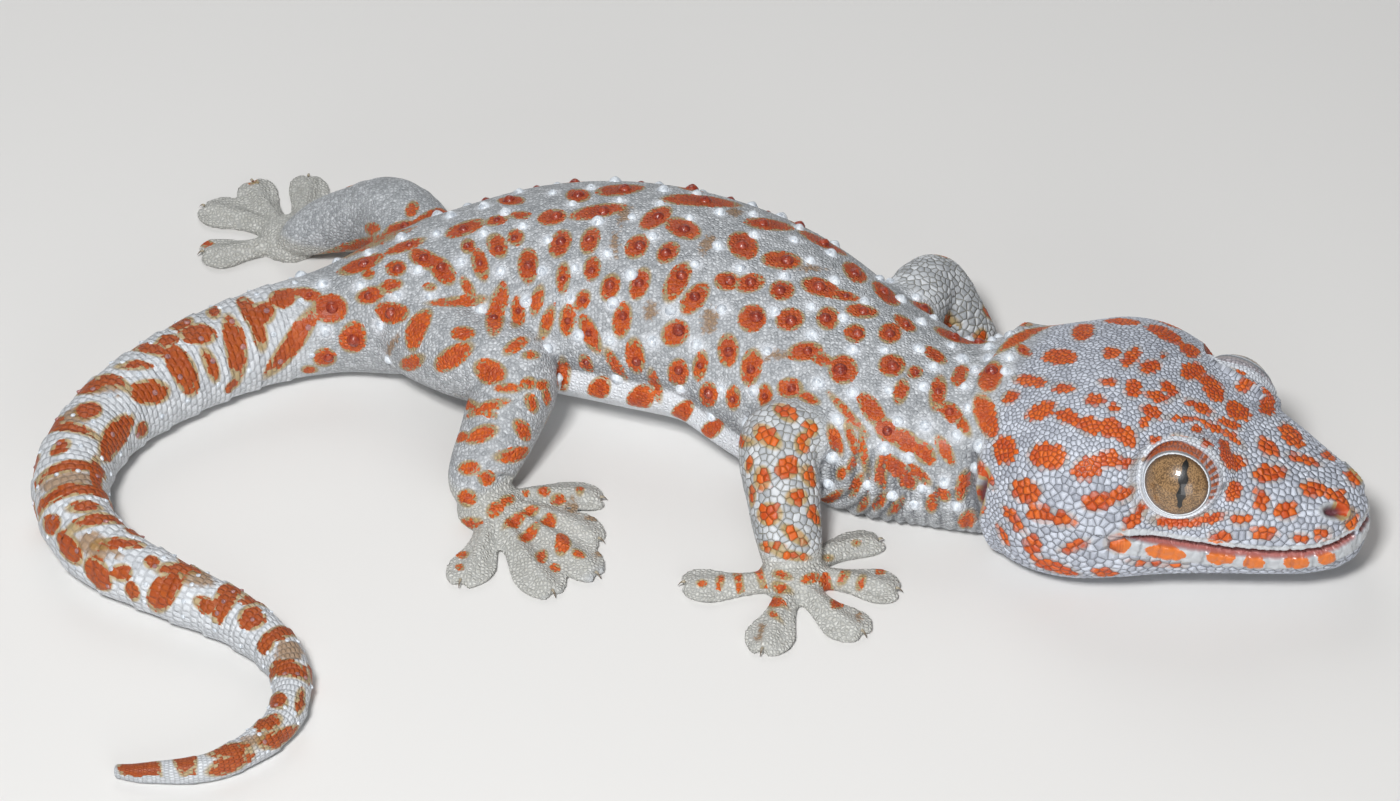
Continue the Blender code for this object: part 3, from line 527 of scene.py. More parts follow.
def scatter(points: np.ndarray, spacing: np.ndarray, rng: np.random.Generator) -> np.ndarray:
    """Pick points so that no two are nearer than their spacing.

    Args:
        points: Candidate points.
        spacing: The least distance at each candidate.
        rng: The seeded source of the order.

    Returns:
        The indices of the picked points.
    """
    cell = float(spacing.max())
    boxes: dict[tuple[int, int, int], list[int]] = {}
    keys = np.floor(points / cell).astype(int).tolist()
    places = points.tolist()
    gaps = spacing.tolist()
    near = [(i, j, k) for i in (-1, 0, 1) for j in (-1, 0, 1) for k in (-1, 0, 1)]
    picked: list[int] = []
    for index in rng.permutation(len(points)).tolist():
        x, y, z = places[index]
        a, b, c = keys[index]
        limit = gaps[index] ** 2
        others = (other for i, j, k in near for other in boxes.get((a + i, b + j, c + k), ()))
        spots = (places[other] for other in others)
        if all((x - p) ** 2 + (y - q) ** 2 + (z - r) ** 2 >= limit for p, q, r in spots):
            picked.append(index)
            boxes.setdefault((a, b, c), []).append(index)
    return np.array(picked, int)


@dataclass
class Shell:
    """Points and faces of a mesh in millimetres, gathered piece by piece."""

    points: list[np.ndarray] = field(default_factory=list)
    faces: list[tuple[int, ...]] = field(default_factory=list)
    count: int = 0

    def add(self, points: np.ndarray, faces: Iterable[Sequence[int]]) -> None:
        """Add one piece's points and faces."""
        self.points.append(np.asarray(points, float))
        self.faces += [tuple(int(k) + self.count for k in face) for face in faces]
        self.count += len(points)

    def add_loft(self, rings: np.ndarray) -> None:
        """Add a closed body through rings, with a fan at each end.

        Args:
            rings: Array of shape (rings, sides, 3).
        """
        rows, sides = rings.shape[:2]
        k = np.arange(sides)
        after = (k + 1) % sides
        faces: list[Sequence[int]] = []
        for row in range(rows - 1):
            here, there = row * sides, (row + 1) * sides
            faces += list(np.stack([here + k, there + k, there + after, here + after], 1))
        ends = np.stack([rings[0].mean(0), rings[-1].mean(0)])
        last = (rows - 1) * sides
        faces += [(rows * sides, int(a), int(b)) for a, b in zip(k, after)]
        faces += [(rows * sides + 1, int(last + b), int(last + a)) for a, b in zip(k, after)]
        self.add(np.vstack([rings.reshape(-1, 3), ends]), faces)

    def mesh(self, name: str) -> bpy.types.Mesh:
        """The gathered mesh in metres in the row's frame."""
        mesh = bpy.data.meshes.new(name)
        points = (np.vstack(self.points) - PLAN_CENTRE) * MM
        mesh.from_pydata(points.tolist(), [], self.faces)
        body = bmesh.new()
        body.from_mesh(mesh)
        bmesh.ops.recalc_face_normals(body, faces=body.faces)
        body.to_mesh(mesh)
        body.free()
        mesh.polygons.foreach_set("use_smooth", np.ones(len(mesh.polygons), bool))
        return mesh


def add_layer(mesh: bpy.types.Mesh, name: str, values: np.ndarray, domain: str = "POINT") -> None:
    """Store one number or one vector per point, corner or face of a mesh.

    Args:
        mesh: The mesh.
        name: The attribute's name.
        values: An array of numbers, or of rows of three.
        domain: Where the values belong.
    """
    vector = values.ndim > 1
    layer = mesh.attributes.new(name, "FLOAT_VECTOR" if vector else "FLOAT", domain)
    layer.data.foreach_set("vector" if vector else "value", np.ascontiguousarray(values, np.float32).ravel())


def place_piece(name: str, mesh: bpy.types.Mesh, material: bpy.types.Material) -> bpy.types.Object:
    """Link a piece, give it its material and let it ride on the one body.

    Args:
        name: The piece's name.
        mesh: Its mesh.
        material: Its material.

    Returns:
        The new object.
    """
    obj = add_object(name, mesh)
    mesh.materials.clear()
    mesh.materials.append(material)
    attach(obj, "root")
    return obj


@dataclass
class Spine:
    """The line of sections from the tail's tip to the nape."""

    sections: tuple[Section, ...] = SPINE
    step: float = 0.04
    stride: int = 10

    def __post_init__(self) -> None:
        """Sample the line once."""
        self.at = np.arange(0.0, len(self.sections) - 1 + 1e-9, self.step)
        self.rows = self.values(self.at)
        way = self.values(self.at + 1e-3)[:, :2] - self.values(self.at - 1e-3)[:, :2]
        self.ways = unit(way)
        self.sides = np.stack([-self.ways[:, 1], self.ways[:, 0]], 1)
        self.length = running(self.rows[:, :2])

    def values(self, at: np.ndarray) -> np.ndarray:
        """Section values at places along the line."""
        rows = [(s.x, s.y, s.low, s.high, s.half) for s in self.sections]
        return spline(rows, at)

    def rings(self, sides: int) -> np.ndarray:
        """Upright rings at every sample, flat where they lie on the ground."""
        across, up = oval(sides).T
        x, y, low, high, half = (self.rows[:, k, None] for k in range(5))
        middle = low + WAIST * (high - low)
        reach = np.where(up > 0, high - middle, middle - low)
        side = across * half
        rings = np.stack([x + self.sides[:, :1] * side, y + self.sides[:, 1:] * side, middle + up * reach], 2)
        rings[:, :, 2] = np.maximum(rings[:, :, 2], 0.0)
        return rings

    def surface(self, at: float, angle: float) -> np.ndarray:
        """The point on the form at a place and at an angle from the top, in degrees to the left."""
        index = int(np.clip(round(at / self.step), 0, len(self.at) - 1))
        x, y, low, high, half = self.rows[index]
        turn = math.radians(90 - angle)
        c, s = math.cos(turn), math.sin(turn)
        reach = 1.0 / (abs(c) ** OVAL_POWER + abs(s) ** OVAL_POWER) ** (1 / OVAL_POWER)
        middle = low + WAIST * (high - low)
        across = c * reach * half
        up = middle + s * reach * ((high - middle) if s > 0 else (middle - low))
        return np.array([x + self.sides[index, 0] * across, y + self.sides[index, 1] * across, max(up, 0.4)])

    def locate(self, points: np.ndarray) -> tuple[np.ndarray, np.ndarray, np.ndarray]:
        """Where points lie on the spine.

        Args:
            points: Points in millimetres.

        Returns:
            The place counted in sections, the angle from the top in degrees, signed to the
            left, and the distance out in units of the section's own size.
        """
        nearest = np.empty(len(points), int)
        rough = self.rows[:: self.stride]
        window = np.arange(-self.stride, self.stride + 1)
        for start in range(0, len(points), BATCH):
            part = points[start : start + BATCH, None, :2]
            gaps = ((part - rough[None, :, :2]) ** 2).sum(2) / rough[None, :, 4] ** 0.5
            around = np.clip(gaps.argmin(1)[:, None] * self.stride + window, 0, len(self.rows) - 1)
            rows = self.rows[around]
            gaps = ((part - rows[:, :, :2]) ** 2).sum(2) / rows[:, :, 4] ** 0.5
            nearest[start : start + BATCH] = around[np.arange(len(around)), gaps.argmin(1)]
        row, side, way = self.rows[nearest], self.sides[nearest], self.ways[nearest]
        offset = points[:, :2] - row[:, :2]
        across = (offset * side).sum(1) / row[:, 4]
        middle = row[:, 2] + WAIST * (row[:, 3] - row[:, 2])
        rise = points[:, 2] - middle
        up = rise / np.where(rise > 0, row[:, 3] - middle, middle - row[:, 2])
        slip = (offset * way).sum(1) / 9.0
        return self.at[nearest] + slip, np.degrees(np.arctan2(across, up)), np.hypot(across, up)

    def distance(self, at: np.ndarray) -> np.ndarray:
        """Millimetres from the tail's tip at places along the line."""
        return np.interp(at, self.at, self.length)


@dataclass
class Skull:
    """The head's form and its own frame: along from the nape, across to the left, and up."""

    sides: int = 96
    rings: int = 110

    def to_world(self, points: np.ndarray | Sequence[Sequence[float]]) -> np.ndarray:
        """Head-frame points in the animal's plan."""
        along, across, up = np.atleast_2d(np.asarray(points, float)).T
        c, s = math.cos(HEAD_ROLL), math.sin(HEAD_ROLL)
        across, up = across * c + up * s, up * c - across * s
        c, s = math.cos(HEAD_LIFT), math.sin(HEAD_LIFT)
        along, up = along * c - up * s, up * c + along * s
        c, s = math.cos(HEAD_YAW), math.sin(HEAD_YAW)
        x, y = HEAD_PLACE[0] + along * c - across * s, HEAD_PLACE[1] + along * s + across * c
        return np.stack([x, y, up], 1)

    def spot(self, along: float, across: float, up: float) -> np.ndarray:
        """One head-frame point in the animal's plan."""
        return self.to_world([(along, across, up)])[0]

    def to_head(self, points: np.ndarray) -> np.ndarray:
        """Points of the animal's plan in the head's frame."""
        origin = self.spot(0, 0, 0)
        axes = self.to_world(np.eye(3)) - origin
        return (points - origin) @ axes.T

    def turn(self, way: Sequence[float]) -> np.ndarray:
        """A head-frame direction in the animal's plan."""
        return self.spot(*way) - self.spot(0, 0, 0)

    def section(self, along: np.ndarray) -> np.ndarray:
        """Low, high, half width and waist at places along the head."""
        at = np.interp(along, [s.along for s in HEAD], np.arange(len(HEAD)))
        return spline([(s.low, s.high, s.half, s.waist) for s in HEAD], at)

    def body(self) -> np.ndarray:
        """The head's rings, closed to the snout's tip."""
        along = np.concatenate([np.linspace(-3.0, 44.0, self.rings), np.linspace(44.3, HEAD[-1].along, 8)])
        low, high, half, waist = self.section(along).T[:, :, None]
        across, up = oval(self.sides, HEAD_POWER).T
        middle = low + waist * (high - low)
        reach = np.where(up > 0, high - middle, middle - low)
        rings = np.stack([along[:, None] + 0 * across, half * across, middle + up * reach], 2)
        shrink = np.array([0.75, 0.4])[:, None, None]
        tip = np.array([0.0, 0.0, SNOUT_TIP[1]])
        caps = (rings[-1] - tip) * shrink + tip
        caps[:, :, 0] = np.array([[SNOUT_TIP[0] - 0.2], [SNOUT_TIP[0]]])
        rings = np.concatenate([rings, caps])
        world = self.to_world(rings.reshape(-1, 3)).reshape(rings.shape)
        world[:, :, 2] = np.maximum(world[:, :, 2], 0.0)
        return world

    def wall(self, along: np.ndarray, height: np.ndarray) -> np.ndarray:
        """Head-frame points of the right side at places along and heights."""
        low, high, half, waist = self.section(along).T
        middle = low + waist * (high - low)
        reach = np.where(height > middle, high - middle, middle - low)
        share = np.clip(np.abs((height - middle) / reach), 0.0, 0.97)
        return np.stack([along, -half * (1 - share**HEAD_POWER) ** (1 / HEAD_POWER), height], 1)

    def mouth(self, rise: float = 0.0, count: int = 90) -> np.ndarray:
        """Head-frame points along the mouth or so far above it, from the right corner to the left."""
        along = np.linspace(MOUTH_LINE[0][0], 46.0, count)
        right = self.wall(along, np.interp(along, *zip(*MOUTH_LINE)) + rise)
        left = right[::-1] * (1, -1, 1)
        height = 6.4 + rise
        return np.vstack([right, [(46.6, -1.0, height), (46.8, 0.0, height), (46.6, 1.0, height)], left])


def limb_rings(limb: Limb, sides: int = 40, count: int = 60) -> np.ndarray:
    """Rings along a whole limb, rounded at both ends."""
    bends = [(b.x, b.y, b.z, b.wide, b.deep) for b in limb.bends]
    bends.append((*limb.palm, 1.8, limb.bends[-1].wide * 0.85, 1.7))
    at = np.linspace(0, len(bends) - 1, count)
    rows = spline(bends, at)
    ways = unit(np.gradient(rows[:, :3], axis=0))
    side = unit(np.cross((0.0, 0.0, 1.0), ways))
    up = np.cross(ways, side)
    across, rise = oval(sides).T
    cap = np.sqrt(np.clip(1 - (np.abs(at - at.mean()) / (at[-1] / 2)) ** 24, 0.02, 1))[:, None, None]
    wide = side[:, None] * (across * rows[:, 3:4])[:, :, None]
    deep = up[:, None] * (rise * rows[:, 4:5])[:, :, None]
    rings = rows[:, None, :3] + (wide + deep) * cap
    rings[:, :, 2] = np.maximum(rings[:, :, 2], 0.0)
    return rings


def toe_rings(limb: Limb, toe: Toe, count: int = 34) -> np.ndarray:
    """Rings of one toe: a ridge down the middle of a broad thin pad, flat below."""
    start, way, length = limb.toe_line(toe)
    side = np.array([-way[1], way[0]])
    share = np.concatenate([np.linspace(1, -1, 21), np.linspace(-0.92, 0.92, 11)])
    rings = []
    for t in np.linspace(0.1, 0.985, count):
        middle = start + way * length * t + side * length * toe.bend * math.sin(math.pi * t)
        swell = float(ridge(t, 0.76, 0.22))
        blunt = math.sqrt(max(0.04, 1 - (max(0.0, t - 0.82) / 0.18) ** 2.6))
        half = (TOE_NECK + (toe.pad - TOE_NECK) * swell) * blunt
        crest = (TOE_HIGH - 1.2 * t) * (0.45 + 0.55 * blunt)
        edge = TOE_EDGE * blunt
        height = edge + (crest - edge) * ridge(share * half, 0.0, 1.2)
        height[21:] = 0.0
        notch = 1.1 * ease(0.86, 1.0, t) * ridge(share * half, 0.0, 0.7)
        place = middle + side * (share * half)[:, None] - way * notch[:, None]
        rings.append(np.column_stack([place, height]))
    return np.array(rings)


def palm_rings(limb: Limb) -> np.ndarray:
    """Rings of the flat palm or sole, from the ground up."""
    turn = circle(36)
    rings = []
    for reach in np.linspace(0, 1, 12):
        wide = 4.5 * math.sqrt(max(0.02, 1 - reach**2.4))
        x, y = limb.palm[0] + wide * np.cos(turn), limb.palm[1] + wide * np.sin(turn)
        rings.append(np.column_stack([x, y, np.full(len(turn), PALM_HIGH * reach)]))
    return np.array(rings)


def ball_rings(centre: np.ndarray, radii: Sequence[float]) -> np.ndarray:
    """Rings of an upright ellipsoid."""
    turn = circle(40)
    rings = []
    for polar in np.linspace(0.05, math.pi - 0.05, 24):
        x, y = np.cos(turn) * math.sin(polar), np.sin(turn) * math.sin(polar)
        ring = np.column_stack([x, y, np.full(len(turn), -math.cos(polar))])
        rings.append(centre + ring * np.asarray(radii))
    return np.array(rings)


@dataclass
class Gaze:
    """Where one eye sits and looks: its centre, its look, and the ways forward and up across it."""

    skull: Skull
    side: int

    def __post_init__(self) -> None:
        """Work out the eye's own frame."""
        self.centre = self.skull.spot(EYE_PLACE[0], self.side * EYE_PLACE[1], EYE_PLACE[2])
        self.look = unit(self.skull.turn((EYE_LOOK[0], self.side * EYE_LOOK[1], EYE_LOOK[2])))
        upright = self.skull.turn((0.06, 0.0, 1.0))
        self.front = unit(np.cross(upright, self.look)) * -self.side
        self.up = np.cross(self.look, self.front) * -self.side

    def spread(self, points: np.ndarray) -> tuple[np.ndarray, np.ndarray, np.ndarray]:
        """How far points lie forward, up and out along the look."""
        gap = points - self.centre
        return gap @ self.front, gap @ self.up, gap @ self.look


@dataclass
class Lens:
    """The photograph's camera, which also casts picture points on the skin."""

    rise: float = math.radians(42.0)
    away: float = 560.0
    focal: float = 4264.0
    size: tuple[int, int] = (1400, 801)

    def place(self) -> np.ndarray:
        """The camera's place in the animal's plan."""
        return np.array([0.0, -self.away * math.cos(self.rise), self.away * math.sin(self.rise)])

    def ray(self, x: float, y: float) -> np.ndarray:
        """The direction through a pixel of the photograph."""
        across = (x - self.size[0] / 2) / self.focal
        up = (self.size[1] / 2 - y) / self.focal
        c, s = math.cos(self.rise), math.sin(self.rise)
        return unit(np.array([across, c + up * s, -s + up * c]))

    def make(self) -> None:
        """Add the camera to the scene."""
        data = bpy.data.cameras.new("camera")
        data.sensor_width = 36.0
        data.lens = self.focal / self.size[0] * data.sensor_width
        data.clip_start = 0.01
        camera = add_object("camera", data)
        camera.location = (self.place() - PLAN_CENTRE) * MM
        camera.rotation_euler = (math.pi / 2 - self.rise, 0.0, 0.0)
        bpy.context.scene.camera = camera


@dataclass
class Patch:
    """One marking: an ellipse in the plane that touches the skin, in millimetres."""

    centre: np.ndarray
    long: np.ndarray
    wide: np.ndarray
    normal: np.ndarray
    tint: Tint

    def reach(self, gap: np.ndarray) -> np.ndarray:
        """How far out offsets lie, 1 on the marking's edge."""
        skew = self.long @ self.wide
        square = np.array([[self.long @ self.long, skew], [skew, self.wide @ self.wide]])
        share = np.linalg.solve(square, np.stack([gap @ self.long, gap @ self.wide]))
        return np.hypot(share[0], share[1])


@dataclass
class Grid:
    """The skin's mesh as arrays, with what the relief and colours need to know."""

    points: np.ndarray
    faces: np.ndarray
    loose: list[tuple[int, ...]]
    edges: np.ndarray = field(init=False)
    normals: np.ndarray = field(init=False)

    def __post_init__(self) -> None:
        """Work out the edges."""
        self.link()

    def link(self) -> None:
        """Find each edge once."""
        pairs = [self.faces[:, (k, (k + 1) % 4)] for k in range(4)]
        for face in self.loose:
            pairs.append(np.array([(face[k], face[(k + 1) % len(face)]) for k in range(len(face))]))
        pairs = np.sort(np.vstack(pairs), axis=1)
        keys = np.unique(pairs[:, 0].astype(np.int64) * len(self.points) + pairs[:, 1])
        self.edges = np.stack([keys // len(self.points), keys % len(self.points)], 1)

    def mean_around(self, values: np.ndarray) -> np.ndarray:
        """The mean of the neighbours' values at each point."""
        a, b = self.edges.T
        count = len(self.points)
        valence = np.bincount(a, minlength=count) + np.bincount(b, minlength=count)
        total = [np.bincount(a, row[b], count) + np.bincount(b, row[a], count) for row in values.T]
        return np.stack(total, 1) / valence[:, None]

    def relax(self, weight: np.ndarray | float, rounds: int) -> None:
        """Draw each point to its neighbours' middle and partly back, to smooth without shrinking."""
        weight = np.broadcast_to(np.asarray(weight, float), (len(self.points),))[:, None]
        for step in range(rounds * 2):
            pull = self.mean_around(self.points) - self.points
            self.points = self.points + pull * weight * (0.6 if step % 2 == 0 else -0.42)
        self.points[:, 2] = np.maximum(self.points[:, 2], 0.0)

    def aim(self) -> None:
        """Work out each point's outward normal."""
        p = self.points
        q = self.faces
        normal = np.cross(p[q[:, 2]] - p[q[:, 0]], p[q[:, 3]] - p[q[:, 1]])
        total = np.zeros_like(p)
        for k in range(4):
            for axis in range(3):
                total[:, axis] += np.bincount(q[:, k], normal[:, axis], len(p))
        self.normals = unit(total)

    def refine(self, chosen: np.ndarray) -> None:
        """Split each chosen face in four, and let its neighbours keep the new edge points.

        Args:
            chosen: One truth value per face.
        """
        q = self.faces[chosen]
        count = len(self.points)
        pairs = np.stack([q, np.roll(q, -1, axis=1)], 2).reshape(-1, 2)
        low, high = pairs.min(1).astype(np.int64), pairs.max(1).astype(np.int64)
        keys, back = np.unique(low * count + high, return_inverse=True)
        mids = (self.points[keys // count] + self.points[keys % count]) / 2
        middles = self.points[q].mean(1)
        mid = count + back.reshape(len(q), 4)
        hub = count + len(keys) + np.arange(len(q))
        quads = [np.stack([q[:, k], mid[:, k], hub, mid[:, k - 1]], 1) for k in range(4)]
        lookup = {int(key): count + index for index, key in enumerate(keys)}
        rest, loose = self.faces[~chosen], [self.widened(face, lookup, count) for face in self.loose]
        ends = np.stack([rest, np.roll(rest, -1, axis=1)], 2)
        edge_keys = ends.min(2).astype(np.int64) * count + ends.max(2)
        touched = np.isin(edge_keys, keys).any(1)
        loose += [self.widened(face, lookup, count) for face in rest[touched].tolist()]
        self.points = np.vstack([self.points, mids, middles])
        self.faces = np.vstack([rest[~touched]] + quads)
        self.loose = loose
        self.link()

    @staticmethod
    def widened(face: Sequence[int], lookup: dict[int, int], count: int) -> tuple[int, ...]:
        """A face with the new points that lie on its edges put in."""
        ring: list[int] = []
        for corner, after in zip(face, [*face[1:], face[0]]):
            ring.append(corner)
            extra = lookup.get(min(corner, after) * count + max(corner, after))
            if extra is not None:
                ring.append(extra)
        return tuple(ring)


@dataclass
class Hide:
    """The one skin over head, trunk, tail and limbs, with its scales and markings."""

    spine: Spine
    skull: Skull
    lens: Lens
    eye_reach: float = 7.2

    def form(self) -> bpy.types.Mesh:
        """The body's plain closed form, melted together from its parts."""
        shell = Shell()
        shell.add_loft(self.spine.rings(64)[: -int(1.0 / self.spine.step)])
        shell.add_loft(self.skull.body())
        for side in SIDES:
            across, up = side * (EYE_PLACE[1] - ORBIT_INSET[0]), EYE_PLACE[2] - ORBIT_INSET[1]
            shell.add_loft(ball_rings(self.skull.spot(EYE_PLACE[0], across, up), ORBIT_RADII))
        for limb in LIMBS:
            shell.add_loft(limb_rings(limb))
            shell.add_loft(palm_rings(limb))
            for toe in limb.toes:
                shell.add_loft(toe_rings(limb, toe))
        obj = add_object("form", shell.mesh("form"))
        melt = obj.modifiers.new("melt", "REMESH")
        melt.mode = "VOXEL"
        melt.voxel_size = VOXEL * MM
        graph = bpy.context.evaluated_depsgraph_get()
        result = bpy.data.meshes.new_from_object(obj.evaluated_get(graph))
        bpy.data.objects.remove(obj)
        return result

    def grid(self) -> Grid:
        """The form as arrays, smoothed, with the head twice as fine and the lids four times."""
        mesh = self.form()
        points = np.empty(len(mesh.vertices) * 3)
        mesh.vertices.foreach_get("co", points)
        points = points.reshape(-1, 3) / MM + PLAN_CENTRE
        sizes = np.empty(len(mesh.polygons), int)
        mesh.polygons.foreach_get("loop_total", sizes)
        corners = np.empty(len(mesh.loops), int)
        mesh.loops.foreach_get("vertex_index", corners)
        starts = np.concatenate([[0], np.cumsum(sizes)[:-1]])
        quads = starts[sizes == 4]
        faces = corners[quads[:, None] + np.arange(4)]
        loose = [tuple(corners[s : s + n].tolist()) for s, n in zip(starts, sizes) if n != 4]
        grid = Grid(points, faces, loose)
        bpy.data.meshes.remove(mesh)
        feet = self.foot_weight(points)
        grid.relax(1.0 - 0.6 * feet, 6)
        grid.relax(self.join_weight(grid.points) * (1 - feet), 40)
        head = self.skull.to_head(grid.points[grid.faces].mean(1))
        grid.refine((head[:, 0] > 1.0) & (np.abs(head[:, 1]) < 22.0) & (head[:, 2] < 30.0))
        head = self.skull.to_head(grid.points)
        grid.relax(ease(0.0, 3.0, head[:, 0]), 5)
        middles = grid.points[grid.faces].mean(1)
        chosen = np.zeros(len(middles), bool)
        for side in SIDES:
            front, up, out = Gaze(self.skull, side).spread(middles)
            chosen |= (np.hypot(front, up) < self.eye_reach) & (out > -1.0) & (out < 8.0)
        grid.refine(chosen)
        grid.aim()
        return grid

    def foot_weight(self, points: np.ndarray) -> np.ndarray:
        """1 on hands and feet and 0 elsewhere."""
        clear = self.off_trunk(points)
        weight = np.zeros(len(points))
        for limb in LIMBS:
            reach = np.linalg.norm(points[:, :2] - np.array(limb.palm), axis=1)
            weight = np.maximum(weight, ease(19.0, 17.0, reach) * ease(4.6, 3.2, points[:, 2]) * clear)
        return weight

    def off_trunk(self, points: np.ndarray) -> np.ndarray:
        """1 clear of the spine's body and the head, and 0 on them."""
        _, _, out = self.spine.locate(points)
        head = self.skull.to_head(points)
        half = self.skull.section(head[:, 0])[:, 2]
        inside = (head[:, 0] > 0) & (head[:, 0] < 47) & (np.abs(head[:, 1]) < half + 0.8)
        return ease(1.02, 1.12, out) * ~inside

    def join_weight(self, points: np.ndarray) -> np.ndarray:
        """High where limbs and head grow from the trunk."""
        weight = np.zeros(len(points))
        for limb in LIMBS:
            for bend, reach in zip(limb.bends[:3], (13.0, 8.0, 5.5)):
                weight = np.maximum(weight, ease(reach, reach * 0.55, bend.gap(points)))
        nape = self.skull.to_head(points)
        return np.maximum(weight, ease(5.0, 2.0, np.abs(nape[:, 0] - 1.0)) * 0.9)

    def cover(self) -> "Cover":
        """The skin's scale cover, which the tubercles stand on."""
        grid = self.grid()
        LOG.info("skin form: %d points, %d faces", len(grid.points), len(grid.faces))
        cover = Cover(grid, self.spine, self.skull, self)
        cover.patches = Markings(self.lens, cover).patches()
        LOG.info("markings: %d patches", len(cover.patches))
        cover.paint()
        cover.raise_relief()
        return cover

    def build(self, cover: "Cover", material: bpy.types.Material) -> None:
        """Make the skin and put it in place of the flesh nodes.

        Args:
            cover: The finished scale cover.
            material: The skin's material.
        """
        skin = place_piece("skin", cover.mesh(), material)
        flesh = [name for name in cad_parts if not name.startswith("eye")]
        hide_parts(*flesh)


@dataclass
class Plates:
    """The polygonal scales, each the ground that is nearest to its seed.

    Attributes:
        seeds: The scales' seeds.
        room: Each scale's size.
        tone: Each scale's tone.
        mark: The orange field at each seed.
    """

    seeds: np.ndarray
    room: np.ndarray
    tone: np.ndarray
    mark: np.ndarray

    def __post_init__(self) -> None:
        """Make the search tree over the seeds."""
        self.tree = tree_of(self.seeds)

    def owners(self, points: np.ndarray) -> np.ndarray:
        """The three seeds nearest to each point."""
        return nearest_seeds(self.tree, points, 3)

    def gaps(self, points: np.ndarray, owners: np.ndarray) -> np.ndarray:
        """How much nearer the first seed's border lies than the second's and third's.

        Args:
            points: Points of any shape ending in 3.
            owners: The three seeds of each point, in the same shape.

        Returns:
            Two signed distances in millimetres and the scale's size, per point.
        """
        first, second, third = (((points - self.seeds[owners[..., k]]) ** 2).sum(-1) for k in range(3))
        size = np.broadcast_to(self.room[owners[..., 0]], first.shape)
        return np.stack([(second - first) / (2 * size), (third - first) / (2 * size), size], -1)


